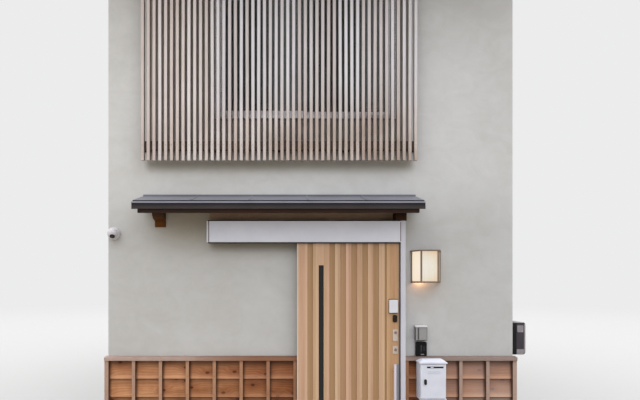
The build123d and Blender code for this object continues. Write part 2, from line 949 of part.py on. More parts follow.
with BuildPart() as door_glass:
    glass_middle = (door_back_out + door_front_out) / 2
    block(
        (slit_x - slit_width / 2, slit_x + slit_width / 2),
        (out_y(glass_middle - glass_thickness / 2), out_y(glass_middle + glass_thickness / 2)),
        (slit_bottom, slit_top),
    )
door_glass.part.label = "door_glass"
export_step(door_glass.part, "parts/door_glass.step")

# Hangers: a plate up from the leaf, an axle and a roller on the track
with BuildPart() as door_hangers:
    plate_out = track_out + door_clearance + roller_run_gap
    roller_z = track_top + roller_run_gap + roller_radius
    roller_out = track_out - roller_width
    for x in (door_left + roller_inset, door_right - roller_inset):
        block(
            (x - hanger_width / 2, x + hanger_width / 2),
            (out_y(plate_out), out_y(plate_out + hanger_plate)),
            (door_top, roller_z + roller_radius),
        )
        with BuildSketch(Plane(origin=(x, out_y(roller_out), roller_z), z_dir=(0, -1, 0))):
            Circle(roller_radius)
        extrude(amount=roller_width)
        with BuildSketch(Plane(origin=(x, out_y(track_out), roller_z), z_dir=(0, -1, 0))):
            Circle(axle_radius)
        extrude(amount=plate_out - track_out)
door_hangers.part.label = "door_hangers"
export_step(door_hangers.part, "parts/door_hangers.step")

# Bar handle on two posts
with BuildPart() as door_handle:
    handle_x = door_right - handle_inset
    with BuildSketch(Plane.XY.offset(handle_bottom)):
        with Locations((handle_x, out_y(door_front_out + handle_standoff))):
            Circle(handle_radius)
    extrude(amount=handle_top - handle_bottom)
    for z in (handle_bottom + handle_post_inset, handle_top - handle_post_inset):
        with BuildSketch(Plane(origin=(handle_x, out_y(door_front_out), z), z_dir=(0, -1, 0))):
            Circle(handle_post_radius)
        extrude(amount=handle_standoff)
door_handle.part.label = "door_handle"
export_step(door_handle.part, "parts/door_handle.step")


def lock_piece(inset, z, width, height, depth):
    # A piece on the face of the leaf, by the middle of its back
    x = door_right - inset
    y_span = (out_y(door_front_out), out_y(door_front_out + depth))
    block((x - width / 2, x + width / 2), y_span, (z - height / 2, z + height / 2))


# Keypad lock body, thumb cover and two lock plates on the leaf
with BuildPart() as door_locks:
    lock_piece(lock_body_inset, lock_body_z, lock_body_width, lock_body_height, lock_body_depth)
    front_edges = door_locks.edges().group_by(Axis.Y)[0]
    fillet(front_edges, radius=lock_body_fillet)
    lock_piece(thumb_inset, thumb_z, thumb_width, thumb_height, thumb_depth)
    lock_piece(plate_inset, upper_plate_z, plate_width, upper_plate_height, plate_depth)
    lock_piece(plate_inset, lower_plate_z, plate_width, lower_plate_height, plate_depth)
door_locks.part.label = "door_locks"
export_step(door_locks.part, "parts/door_locks.step")

# Wall lamp
lamp_x = jamb_right + lamp_from_jamb
lamp_top = lamp_bottom + lamp_height


def lamp_plan(grow=0, mode=Mode.ADD):
    # Half a hexagon against the wall, grown or shrunk by one distance
    half_back = lamp_back_width / 2 + grow
    half_front = lamp_front_width / 2 + grow
    Polygon(
        (lamp_x - half_back, out_y(0)),
        (lamp_x - half_front, out_y(lamp_out + grow)),
        (lamp_x + half_front, out_y(lamp_out + grow)),
        (lamp_x + half_back, out_y(0)),
        align=None,
        mode=mode,
    )


def lamp_posts(mode=Mode.ADD):
    reach = lamp_bar / 2
    back_x = lamp_back_width / 2 - reach
    front_x = lamp_front_width / 2 - reach
    with Locations((lamp_x - back_x, out_y(reach)), (lamp_x + back_x, out_y(reach))):
        Rectangle(lamp_bar, lamp_bar, mode=mode)
    with Locations((lamp_x - front_x, out_y(lamp_out - reach)), (lamp_x + front_x, out_y(lamp_out - reach))):
        Rectangle(lamp_bar, lamp_bar, mode=mode)


with BuildPart() as wall_lamp_frame:
    with BuildSketch(Plane.XY.offset(lamp_bottom)):
        lamp_plan()
        lamp_plan(-lamp_bar, mode=Mode.SUBTRACT)
    extrude(amount=lamp_bar)
    with BuildSketch(Plane.XY.offset(lamp_bottom)):
        lamp_posts()
    extrude(amount=lamp_height)
    with BuildSketch(Plane.XY.offset(lamp_top - lamp_lid_thickness)):
        lamp_plan(lamp_lid_overhang)
    extrude(amount=lamp_lid_thickness)
wall_lamp_frame.part.label = "wall_lamp_frame"
export_step(wall_lamp_frame.part, "parts/wall_lamp_frame.step")

with BuildPart() as wall_lamp_panes:
    pane_inset = (lamp_bar - lamp_pane_thickness) / 2
    with BuildSketch(Plane.XY.offset(lamp_bottom + lamp_bar)):
        lamp_plan(-pane_inset)
        lamp_plan(-pane_inset - lamp_pane_thickness, mode=Mode.SUBTRACT)
        lamp_posts(mode=Mode.SUBTRACT)
    extrude(amount=lamp_height - lamp_bar - lamp_lid_thickness)
wall_lamp_panes.part.label = "wall_lamp_panes"
export_step(wall_lamp_panes.part, "parts/wall_lamp_panes.step")

intercom_x = jamb_right + intercom_from_jamb
intercom_bottom = cap_bottom + cap_back_height + intercom_over_cap
outlet_x = jamb_right + outlet_from_jamb
outlet_bottom = intercom_bottom + intercom_height + outlet_over_intercom

# Hooded cover of an outdoor outlet
with BuildPart() as outlet_cover:
    outlet_top = outlet_bottom + outlet_height
    hood_bottom = outlet_top - outlet_hood_drop - outlet_hood_thickness
    section = [
        (0, outlet_bottom),
        (outlet_out - outlet_hood_lip, outlet_bottom),
        (outlet_out - outlet_hood_lip, hood_bottom),
        (outlet_out, hood_bottom),
        (outlet_out, hood_bottom + outlet_hood_thickness),
        (0, outlet_top),
    ]
    drawn(outlet_x - outlet_width / 2, wall_points(section), outlet_width)
outlet_cover.part.label = "outlet_cover"
export_step(outlet_cover.part, "parts/outlet_cover.step")

# Intercom
with BuildPart() as intercom:
    block(
        (intercom_x - intercom_width / 2, intercom_x + intercom_width / 2),
        (out_y(0), out_y(intercom_out)),
        (intercom_bottom, intercom_bottom + intercom_height),
    )
    fillet(intercom.edges().group_by(Axis.Y)[0], radius=intercom_fillet)
intercom.part.label = "intercom"
export_step(intercom.part, "parts/intercom.step")

# Security camera: a tapered collar on the wall, and a ball with its lens turned down to the street
camera_x = -half_width + camera_base_radius + camera_corner_gap
with BuildPart() as security_camera:
    with BuildSketch(Plane(origin=(camera_x, out_y(0), camera_z), z_dir=(0, -1, 0))):
        Circle(camera_base_radius)
    extrude(amount=camera_base_depth, taper=camera_base_taper)
    ball_plane = Plane(origin=(camera_x, out_y(camera_ball_out), camera_z), x_dir=(1, 0, 0), z_dir=(0, -1, 0))
    lens_plane = ball_plane.rotated((camera_lens_tilt, 0, 0))
    with Locations(lens_plane.location):
        Sphere(camera_ball_radius)
    with BuildSketch(lens_plane):
        Circle(camera_lens_radius)
    extrude(amount=camera_ball_radius + camera_lens_out)
security_camera.part.label = "security_camera"
export_step(security_camera.part, "parts/security_camera.step")

# Meter box on the right party wall, just behind the corner
with BuildPart() as meter_box:
    block(
        (half_width, half_width + meter_out),
        (out_y(-meter_setback), out_y(-meter_setback - meter_width)),
        (meter_bottom, meter_bottom + meter_height),
    )
    fillet(meter_box.edges().group_by(Axis.X)[-1], radius=meter_fillet)
meter_box.part.label = "meter_box"
export_step(meter_box.part, "parts/meter_box.step")

# Mailbox: an open-fronted case under a hipped lid, with a sill that carries the door's lower pivot
mailbox_left = jamb_right + mailbox_from_jamb
mailbox_right = mailbox_left + mailbox_width
mailbox_top = cap_bottom - mailbox_under_cap
mailbox_bottom = mailbox_top - mailbox_height
mailbox_rim_out = cap_out + mailbox_depth
mailbox_door_back = mailbox_rim_out + mailbox_gap
mailbox_door_front = mailbox_door_back + mailbox_door_thickness
mailbox_door_bottom = mailbox_bottom + mailbox_sheet + mailbox_gap
mailbox_door_top = mailbox_top - mailbox_gap
pivot_x = mailbox_right - mailbox_pivot_inset
pivot_out = mailbox_door_back + mailbox_door_thickness / 2
pivot_length = mailbox_gap - mailbox_pivot_gap

with BuildPart() as mailbox_body:
    block((mailbox_left, mailbox_right), (out_y(cap_out), out_y(mailbox_rim_out)), (mailbox_bottom, mailbox_top))
    block(
        (mailbox_left + mailbox_sheet, mailbox_right - mailbox_sheet),
        (out_y(cap_out + mailbox_sheet), out_y(mailbox_rim_out)),
        (mailbox_bottom + mailbox_sheet, mailbox_top - mailbox_sheet),
        mode=Mode.SUBTRACT,
    )
    block(
        (mailbox_left, mailbox_right),
        (out_y(mailbox_rim_out), out_y(mailbox_door_front)),
        (mailbox_bottom, mailbox_bottom + mailbox_sheet),
    )
    lid_out = mailbox_door_front + mailbox_lid_overhang
    block(
        (mailbox_left - mailbox_lid_overhang, mailbox_right + mailbox_lid_overhang),
        (out_y(cap_out), out_y(lid_out)),
        (mailbox_top, mailbox_top + mailbox_lid_edge),
    )
    with BuildSketch(Plane.XY.offset(mailbox_top + mailbox_lid_edge)):
        with Locations(((mailbox_left + mailbox_right) / 2, (out_y(cap_out) + out_y(lid_out)) / 2)):
            Rectangle(mailbox_width + 2 * mailbox_lid_overhang, lid_out - cap_out)
    extrude(amount=mailbox_lid_rise, taper=mailbox_lid_taper)
    with BuildSketch(Plane.XY.offset(mailbox_bottom + mailbox_sheet)):
        with Locations((pivot_x, out_y(pivot_out))):
            Circle(mailbox_pivot_radius)
    extrude(amount=pivot_length)
    with BuildSketch(Plane.XY.offset(mailbox_top)):
        with Locations((pivot_x, out_y(pivot_out))):
            Circle(mailbox_pivot_radius)
    extrude(amount=-pivot_length)
mailbox_body.part.label = "mailbox_body"
export_step(mailbox_body.part, "parts/mailbox_body.step")

with BuildPart() as mailbox_door:
    door_x = (mailbox_left + mailbox_gap, mailbox_right - mailbox_gap)
    door_y = (out_y(mailbox_door_back), out_y(mailbox_door_front))
    block(door_x, door_y, (mailbox_door_bottom, mailbox_door_top))
    front_uprights = mailbox_door.edges().filter_by(Axis.Z).group_by(Axis.Y)[0]
    fillet(front_uprights, radius=mailbox_door_fillet)
    mail_slot_x = mailbox_right - mail_slot_from_right
    mail_slot_z = mailbox_top - mail_slot_under_top
    block(
        (mail_slot_x - mail_slot_width / 2, mail_slot_x + mail_slot_width / 2),
        (out_y(mailbox_door_front - mail_slot_depth), out_y(mailbox_door_front)),
        (mail_slot_z - mail_slot_height / 2, mail_slot_z + mail_slot_height / 2),
        mode=Mode.SUBTRACT,
    )
    mail_lock_x = mailbox_left + mail_lock_from_left
    mail_lock_z = mailbox_bottom + mail_lock_rise
    with BuildSketch(Plane(origin=(mail_lock_x, out_y(mailbox_door_front), mail_lock_z), z_dir=(0, -1, 0))):
        Circle(mail_lock_radius)
    extrude(amount=mail_lock_out)
mailbox_door.part.label = "mailbox_door"
export_step(mailbox_door.part, "parts/mailbox_door.step")
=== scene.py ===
import bpy
import bmesh
import math
import random
from mathutils import Matrix, Vector


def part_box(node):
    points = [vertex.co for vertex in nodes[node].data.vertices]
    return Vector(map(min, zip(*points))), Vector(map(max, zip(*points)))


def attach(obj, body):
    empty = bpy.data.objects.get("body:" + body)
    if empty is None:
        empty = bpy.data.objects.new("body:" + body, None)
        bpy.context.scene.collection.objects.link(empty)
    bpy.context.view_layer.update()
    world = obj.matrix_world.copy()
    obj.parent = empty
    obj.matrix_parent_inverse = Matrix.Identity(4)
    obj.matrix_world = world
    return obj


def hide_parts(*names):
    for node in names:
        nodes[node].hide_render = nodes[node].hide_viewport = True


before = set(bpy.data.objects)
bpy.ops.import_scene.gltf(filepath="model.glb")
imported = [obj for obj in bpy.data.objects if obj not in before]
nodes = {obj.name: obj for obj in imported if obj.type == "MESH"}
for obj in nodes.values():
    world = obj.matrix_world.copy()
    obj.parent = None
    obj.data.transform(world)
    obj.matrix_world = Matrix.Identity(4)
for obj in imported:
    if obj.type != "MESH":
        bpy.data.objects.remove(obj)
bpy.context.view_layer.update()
print("frame loaded with", len(nodes), "pieces")

# Camera, where the photographer stood: level, with the view shifted up to keep the uprights parallel
cameraSettings = {
    "place": (-0.174, -8.315, 1.886),
    "lens": 27.7,
    "sensor": 36,
    "shift": (0.044, 0.125),
}
cameraData = bpy.data.cameras.new("streetCamera")
cameraData.lens = cameraSettings["lens"]
cameraData.sensor_width = cameraSettings["sensor"]
cameraData.shift_x, cameraData.shift_y = cameraSettings["shift"]
camera = bpy.data.objects.new("streetCamera", cameraData)
camera.location = cameraSettings["place"]
camera.rotation_euler = (math.radians(90), 0, 0)
bpy.context.scene.collection.objects.link(camera)
bpy.context.scene.camera = camera

# Sizes that several pieces share, in metres
townhouse = {
    "halfWidth": 1.8875,
    "laps": 6,  # cedar boards, one over the other
    "battenPitch": 0.249,
    "seamPitch": 0.4095,
    "roofSlope": 0.4,
}
halfHouse = townhouse["halfWidth"]
lapLow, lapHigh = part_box("wainscot_boards")
lapHeight = (lapHigh.z - lapLow.z) / townhouse["laps"]


def srgb(red, green, blue):
    # a screen colour as the linear colour that a shader takes
    def linear(level):
        level /= 255
        return level / 12.92 if level <= 0.04045 else ((level + 0.055) / 1.055) ** 2.4
    return (linear(red), linear(green), linear(blue), 1)


class Nodes:
    # short ways to add what the finishes share to one node tree
    def __init__(self, tree):
        self.tree = tree

    def add(self, kind, inputs=None, **settings):
        node = self.tree.nodes.new("ShaderNode" + kind)
        for key, value in settings.items():
            setattr(node, key, value)
        for key, value in (inputs or {}).items():
            self.feed(node.inputs[key], value)
        return node

    def feed(self, socket, value):
        if isinstance(value, bpy.types.NodeSocket):
            self.tree.links.new(value, socket)
        elif socket.type == "RGBA" and len(value) == 3:
            socket.default_value = (*value, 1)
        else:
            socket.default_value = value

    def calc(self, operation, a, b=0.0, c=0.0):
        return self.add("Math", {0: a, 1: b, 2: c}, operation=operation).outputs[0]

    def times(self, first, *others):
        for other in others:
            first = self.calc("MULTIPLY", first, other)
        return first

    def layered(self, *layers):
        # the sum of some values, each with its weight
        total = 0.0
        for value, weight in layers:
            total = self.calc("MULTIPLY_ADD", value, weight, total)
        return total

    def away(self, value, centre):
        # how far a value lies from a centre, on either side
        return self.calc("ABSOLUTE", self.calc("SUBTRACT", value, centre))

    def counted(self, value, start, pitch):
        # how many pitches a value lies past the start
        return self.calc("DIVIDE", self.calc("SUBTRACT", value, start), pitch)

    def chance(self, number):
        # one random level for each number
        return self.add("TexWhiteNoise", {"W": number}, noise_dimensions="1D").outputs["Value"]

    def split(self, vector):
        return self.add("SeparateXYZ", {0: vector}).outputs

    def point(self, x, y, z):
        return self.add("CombineXYZ", {0: x, 1: y, 2: z}).outputs[0]

    def range(self, value, low, high, toLow=0.0, toHigh=1.0, **settings):
        inputs = {"Value": value, "From Min": low, "From Max": high, "To Min": toLow, "To Max": toHigh}
        return self.add("MapRange", inputs, **settings).outputs[0]

    def soft(self, value, low, high, toLow=0.0, toHigh=1.0):
        return self.range(value, low, high, toLow, toHigh, interpolation_type="SMOOTHSTEP")

    def between(self, value, start, full, stillFull, end):
        # rises from start to full, and falls again from stillFull to end
        return self.times(self.soft(value, start, full), self.soft(value, end, stillFull))

    def ramp(self, value, places, colours):
        # screen colours that blend from place to place
        node = self.add("ValToRGB", {0: value})
        stops = node.color_ramp.elements
        stops[0].position, stops[0].color = places[0], srgb(*colours[0])
        stops[1].position, stops[1].color = places[-1], srgb(*colours[-1])
        for place, colour in zip(places[1:-1], colours[1:-1]):
            stops.new(place).color = srgb(*colour)
        return node.outputs[0]

    def mix(self, share, a, b, blend="MIX"):
        return self.add("MixRGB", {0: share, 1: a, 2: b}, blend_type=blend).outputs[0]

    def stained(self, share, colour, paint):
        # the colour with a share of a screen colour over it
        return self.mix(share, colour, srgb(*paint))

    def multiplied(self, colour, tint):
        return self.mix(1.0, colour, tint, "MULTIPLY")

    def tinted(self, share, colour, tint):
        # the colour, multiplied by the tint as far as the share says
        return self.mix(share, colour, self.multiplied(colour, tint))

    def dim(self, colour, level):
        return self.multiplied(colour, self.point(level, level, level))

    def seen(self):
        # 1 for the view, for reflections and through glass, 0 for the light on the house
        rays = self.add("LightPath").outputs
        share = rays["Is Camera Ray"]
        for ray in ("Is Glossy Ray", "Is Transmission Ray"):
            share = self.calc("MAXIMUM", share, rays[ray])
        return share


class Finish(Nodes):
    # a material in the making
    def __init__(self, name):
        self.material = bpy.data.materials.new(name)
        self.material.use_nodes = True
        super().__init__(self.material.node_tree)
        self.shader = self.tree.nodes["Principled BSDF"]
        coordinates = self.add("TexCoord").outputs
        self.place, self.normal = coordinates["Object"], coordinates["Normal"]

    def axes(self):
        return self.split(self.place)

    def facing(self, axis):
        # how far the surface faces along one axis
        return self.split(self.normal)["xyz".index(axis)]

    def stretched(self, scale):
        return self.add("Mapping", {"Vector": self.place, "Scale": scale}).outputs[0]

    def noise(self, scale, detail=3.0, roughness=0.5, place=None, distortion=0.0):
        inputs = {"Vector": place or self.place, "Scale": scale, "Detail": detail,
                  "Roughness": roughness, "Distortion": distortion}
        return self.add("TexNoise", inputs).outputs[0]

    def bump(self, height, distance, strength=1.0):
        # each new relief lies on the one before
        inputs = {"Height": height, "Distance": distance, "Strength": strength}
        previous = self.shader.inputs["Normal"].links
        if previous:
            inputs["Normal"] = previous[0].from_socket
        self.feed(self.shader.inputs["Normal"], self.add("Bump", inputs).outputs[0])

    def set(self, values):
        for key, value in values.items():
            self.feed(self.shader.inputs[key], value)


def makePlaster():
    # smooth trowelled plaster: broad clouds, faint trowel sweeps and a fine grain, warmer to the left
    look = {
        "tones": ((186, 184, 180), (192, 191, 188), (198, 197, 194)), "splash": (168, 160, 150),
        "warm": (0.97, 0.985, 1.015), "cool": (0.915, 0.945, 1.0), "paintedLightBand": 1.08,
        "warmPentShade": (0.80, 0.73, 0.60), "shadowUnder": (0.62, 0.59, 0.53), "shadeBehindLattice": (0.64, 0.58, 0.54),
        "streetFace": (-3.6, -3.7),  # depths between which the marks of the street front fade in
        "paintedLightHigh": (2.3, 3.0, 1.17), "paintedLightEaves": (4.3, 5.1, 1.06),  # painted light: from and to which height the wall is made paler, and how pale
        "pentShadeReach": (0.42, 2.62, 2.70),  # reach of the painted shade under the pent roof's frame, and the heights where it ends
        "bandHeight": (2.64, 2.72, 2.9, 3.02), "bandWidth": (-1.7, -1.4, 0.85, 1.15),
    }
    finish = Finish("trowelledPlaster")
    x, y, z = finish.axes()
    street = finish.soft(y, *look["streetFace"])
    clouds = finish.noise(0.9, 4.0, 0.55)
    sweeps = finish.noise(3.2, 6.0, 0.6, finish.stretched((1.0, 1.0, 1.5)), 1.6)
    patches = finish.noise(14.0, 5.0, 0.65)
    grain = finish.noise(420.0, 2.0, 0.6)
    tone = finish.layered((clouds, 0.5), (sweeps, 0.35), (patches, 0.15))
    colour = finish.ramp(tone, (0.38, 0.5, 0.62), look["tones"])
    drift = finish.soft(finish.layered((x, 1.0), (clouds, 2.4)), -0.4, 2.8)
    colour = finish.multiplied(colour, finish.mix(drift, look["warm"], look["cool"]))
    # painted light: the upper wall and the wall near the eaves are made paler
    for zone in ("paintedLightHigh", "paintedLightEaves"):
        start, end, level = look[zone]
        colour = finish.dim(colour, finish.soft(z, start, end, 1.0, level))

    def marked(heights, widths, tint):
        # a mark on the street front that fades in and out between its heights and its widths
        share = finish.times(finish.between(z, *heights), finish.between(x, *widths), street)
        return finish.tinted(share, colour, look[tint])

    # painted shade, in a warm brown, on the wall under the pent roof's frame
    low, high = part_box("pent_roof_frame")
    reach, full, end = look["pentShadeReach"]
    colour = marked((low.z - reach, low.z, full, end),
                    (low.x - 0.12, low.x + 0.35, high.x - 0.2, high.x + 0.12), "warmPentShade")

    # painted shadow on the wall under the lattice and under the door's header
    for node, reach in (("lattice", 0.12), ("door_header", 0.11)):
        low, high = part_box(node)
        colour = marked((low.z - reach, low.z - 0.005, low.z, low.z + 0.07),
                        (low.x - 0.02, low.x + 0.06, high.x - 0.06, high.x + 0.02), "shadowUnder")
    # painted shade on the wall behind the lattice
    low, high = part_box("lattice")
    colour = marked((low.z + 0.03, low.z + 0.12, high.z + 1.0, high.z + 1.1),
                    (low.x + 0.02, low.x + 0.05, high.x - 0.04, high.x - 0.01), "shadeBehindLattice")

    # a band between the pent roof and the lattice made paler as painted light, and street dirt thrown up
    # along the foot
    band = finish.times(finish.between(z, *look["bandHeight"]), finish.between(x, *look["bandWidth"]), street)
    colour = finish.dim(colour, finish.range(band, 0.0, 1.0, 1.0, look["paintedLightBand"]))
    foot = finish.mix(street, finish.soft(z, 0.9, 0.12), finish.soft(z, 1.3, 1.16, 0.0, 0.3))
    splash = finish.times(foot, finish.soft(patches, 0.35, 0.7, 0.1, 0.5))
    finish.set({"Base Color": finish.stained(splash, colour, look["splash"]),
                "Roughness": finish.range(sweeps, 0.3, 0.7, 0.74, 0.88), "Specular IOR Level": 0.3})
    finish.bump(sweeps, 0.004, 0.3)
    finish.bump(patches, 0.0012, 0.5)
    finish.bump(grain, 0.0004, 0.35)
    return finish.material


def makeConcrete():
    look = {"tones": ((128, 126, 121), (166, 164, 158)), "gloss": 0.9, "pits": 38.0}
    finish = Finish("castConcrete")
    clouds = finish.noise(2.5, 5.0, 0.6)
    sand = finish.noise(90.0, 4.0, 0.7)
    pits = finish.add("TexVoronoi", {"Vector": finish.place, "Scale": look["pits"]}).outputs["Distance"]
    tone = finish.layered((clouds, 0.7), (sand, 0.3))
    finish.set({"Base Color": finish.ramp(tone, (0.35, 0.65), look["tones"]), "Roughness": look["gloss"]})
    finish.bump(finish.soft(pits, 0.0, 0.14), 0.0015, 0.6)
    finish.bump(sand, 0.0008, 0.5)
    return finish.material


# What a timber has unless its own settings say otherwise
usualWood = {
    "boards": None, "tagged": False, "drift": 3.0, "sheen": 0.3, "toneShift": 0.0,
    "knots": 0.0, "knotScale": 5.0, "knotSize": 0.05, "knotStretch": 0.75, "haloShare": 0.45,
    "ringPitch": 0.011, "ringShare": 0.35, "ringDepth": 0.0004,
    "bendScale": 1.4, "bendHeight": 0.09, "depthShare": 0.6,
    "streakStretch": 0.03, "streakScale": 160.0, "streakShare": 0.45, "streakDepth": 0.0007,
    "poreScale": 900.0, "cloudScale": 6.0, "cloudShare": 0.3,
}


def makeWood(name, settings, weatherAndShade=None):
    # sawn timber: rings that bend round the knots, fine pores along the grain, a tone for each board
    look = {**usualWood, **settings}
    finish = Finish(name)
    axes = finish.axes()
    x, y, z = axes
    along, across = (x, z) if look["grain"] == "x" else (z, x)
    if look["boards"]:
        axis, start, pitch = look["boards"]
        board = finish.counted(axes["xyz".index(axis)], start, pitch)
        chance = finish.chance(finish.calc("FLOOR", board))
    elif look["tagged"]:
        chance = finish.chance(finish.add("Attribute", attribute_name="boardNumber").outputs["Fac"])
    else:
        chance = finish.range(finish.noise(look["drift"], 0.0, 0.0), 0.3, 0.7)
    along = finish.layered((chance, 37.0), (along, 1.0))  # every board is cut from its own log
    across = finish.layered((chance, 5.0), (across, 1.0))

    knotPlace = finish.point(finish.times(along, look["knotStretch"]), across, 0.0)
    cells = finish.add("TexVoronoi", {"Vector": knotPlace, "Scale": look["knotScale"]},
                       voronoi_dimensions="2D").outputs
    picked = finish.add("SeparateColor", {0: cells["Color"]}).outputs[0]
    kept = finish.calc("LESS_THAN", picked, look["knots"])
    size = look["knotSize"]
    core = finish.times(finish.soft(cells["Distance"], size, size * 0.45), kept)
    halo = finish.times(finish.soft(cells["Distance"], size * 4.5, size * 0.6), kept)

    bend = finish.noise(look["bendScale"], 2.0, 0.5, finish.point(along, finish.times(across, 4.0), y))
    field = finish.layered((y, look["depthShare"]), (across, 1.0), (bend, look["bendHeight"]), (halo, 0.03))
    wave = finish.calc("SINE", finish.times(field, 6.283 / look["ringPitch"]))  # a full turn for each ring
    rings = finish.range(wave, -1.0, 1.0)

    streakPlace = finish.point(finish.times(along, look["streakStretch"]), across, y)
    streaks = finish.noise(look["streakScale"], 4.0, 0.65, streakPlace)
    pores = finish.noise(look["poreScale"], 2.0, 0.6, streakPlace)
    clouds = finish.noise(look["cloudScale"], 3.0, 0.5)
    tone = finish.layered((rings, look["ringShare"]), (streaks, look["streakShare"]),
                          (clouds, look["cloudShare"]), (1.0, look["toneShift"]))
    base = finish.ramp(tone, (0.25, 0.5, 0.8), look["tones"])
    other = finish.ramp(tone, (0.25, 0.8), look["other"])
    colour = finish.mix(finish.soft(chance, 0.2, 0.9), base, other)
    if look["knots"]:
        colour = finish.stained(finish.times(halo, look["haloShare"]), colour, look["halo"])
        colour = finish.stained(core, colour, look["knot"])
    # the hook adds wear, and in several finishes painted light and shade
    if weatherAndShade:
        colour = weatherAndShade(finish, colour)
    gloss = finish.range(streaks, 0.3, 0.7, look["gloss"] - 0.06, look["gloss"] + 0.1)
    finish.set({"Base Color": colour, "Roughness": gloss, "Specular IOR Level": look["sheen"]})
    finish.bump(rings, look["ringDepth"], 0.6)
    finish.bump(streaks, look["streakDepth"], 0.6)
    finish.bump(pores, 0.0002, 0.4)
    return finish.material


# What a metal has unless its own settings say otherwise
usualMetal = {
    "metal": 0.0, "sheen": 0.5, "brush": (1.0, 1.0, 1.0), "waveScale": 2.4, "waveDepth": 0.0008,
    "fineScale": 220.0, "fineShare": 0.3, "fineDepth": 0.00004, "cloudScale": 5.0,
}


def makeMetal(name, settings, weatherAndShade=None):
    # coated or bare sheet metal: brushed along one axis, or with the slight waves of a thin sheet
    look = {**usualMetal, **settings}
    finish = Finish(name)
    waves = finish.noise(look["waveScale"], 2.0, 0.4)
    fine = finish.noise(look["fineScale"], 3.0, 0.6, finish.stretched(look["brush"]))
    clouds = finish.noise(look["cloudScale"], 4.0, 0.6)
    tone = finish.layered((clouds, 0.7), (fine, look["fineShare"]))
    colour = finish.ramp(tone, (0.3, 0.7), look["tones"])
    if weatherAndShade:
        colour = weatherAndShade(finish, colour)
    gloss = finish.range(fine, 0.3, 0.7, look["gloss"] - 0.05, look["gloss"] + 0.07)
    finish.set({"Base Color": colour, "Metallic": look["metal"], "Roughness": gloss,
                "Specular IOR Level": look["sheen"]})
    finish.bump(waves, look["waveDepth"], 0.6)
    finish.bump(fine, look["fineDepth"], 0.5)
    return finish.material


# What a moulded or sprayed part has unless its own settings say otherwise
usualPlastic = {"sheen": 0.5, "cloudScale": 9.0, "peelScale": 380.0, "peelDepth": 0.00008}


def makePlastic(name, settings):
    # moulded or sprayed parts with a faint orange peel
    look = {**usualPlastic, **settings}
    finish = Finish(name)
    clouds = finish.noise(look["cloudScale"], 3.0, 0.5)
    peel = finish.noise(look["peelScale"], 1.0, 0.4)
    finish.set({"Base Color": finish.ramp(clouds, (0.3, 0.7), look["tones"]),
                "Roughness": finish.range(peel, 0.3, 0.7, look["gloss"] - 0.03, look["gloss"] + 0.05),
                "Specular IOR Level": look["sheen"]})
    finish.bump(peel, look["peelDepth"], 0.5)
    return finish.material


def makeGlass(name, look):
    finish = Finish(name)
    ripple = finish.noise(3.0, 2.0, 0.4)
    dust = finish.noise(45.0, 4.0, 0.7)
    finish.set({"Base Color": finish.ramp(dust, (0.3, 0.7), look["tones"]),
                "Roughness": finish.range(dust, 0.4, 0.75, look["gloss"], look["gloss"] + 0.05),
                "Transmission Weight": look["clear"], "IOR": 1.5, "Specular IOR Level": look["sheen"]})
    finish.bump(ripple, 0.0002, 0.3)
    return finish.material


def makeLampPane(bulb):
    # frosted panes lit from inside, brightest near the bulb and warmer towards the edges
    look = {"glow": ((248, 245, 237), (243, 233, 214), (238, 205, 166)), "strength": 0.75,
            "frost": ((96, 90, 80), (108, 102, 92)), "leftPane": (255, 232, 204), "leftGain": 1.16}
    finish = Finish("litLampPane")
    away = finish.add("VectorMath", {0: finish.place, 1: bulb}, operation="DISTANCE").outputs["Value"]
    frost = finish.noise(160.0, 3.0, 0.6)
    fibres = finish.noise(60.0, 4.0, 0.7, finish.stretched((1.0, 1.0, 0.15)))
    glow = finish.ramp(finish.range(away, 0.06, 0.2), (0.0, 0.5, 1.0), look["glow"])
    glow = finish.dim(glow, finish.range(fibres, 0.3, 0.7, 0.93, 1.03))
    sideways = finish.facing("x")
    glow = finish.stained(finish.soft(sideways, -0.3, -0.8, 0.0, 0.65), glow, look["leftPane"])
    glow = finish.dim(glow, finish.soft(sideways, -0.3, -0.8, 1.0, look["leftGain"]))
    finish.set({"Base Color": finish.ramp(frost, (0.3, 0.7), look["frost"]), "Roughness": 0.45,
                "Emission Color": glow, "Emission Strength": look["strength"]})
    finish.bump(frost, 0.0003, 0.4)
    return finish.material


def makeBulb():
    look = {"glow": ((255, 196, 120), (255, 210, 140)), "strength": 3.0}
    finish = Finish("warmBulb")
    frost = finish.noise(120.0, 2.0, 0.5)
    finish.set({"Emission Color": finish.ramp(frost, (0.0, 1.0), look["glow"]),
                "Emission Strength": look["strength"]})
    return finish.material


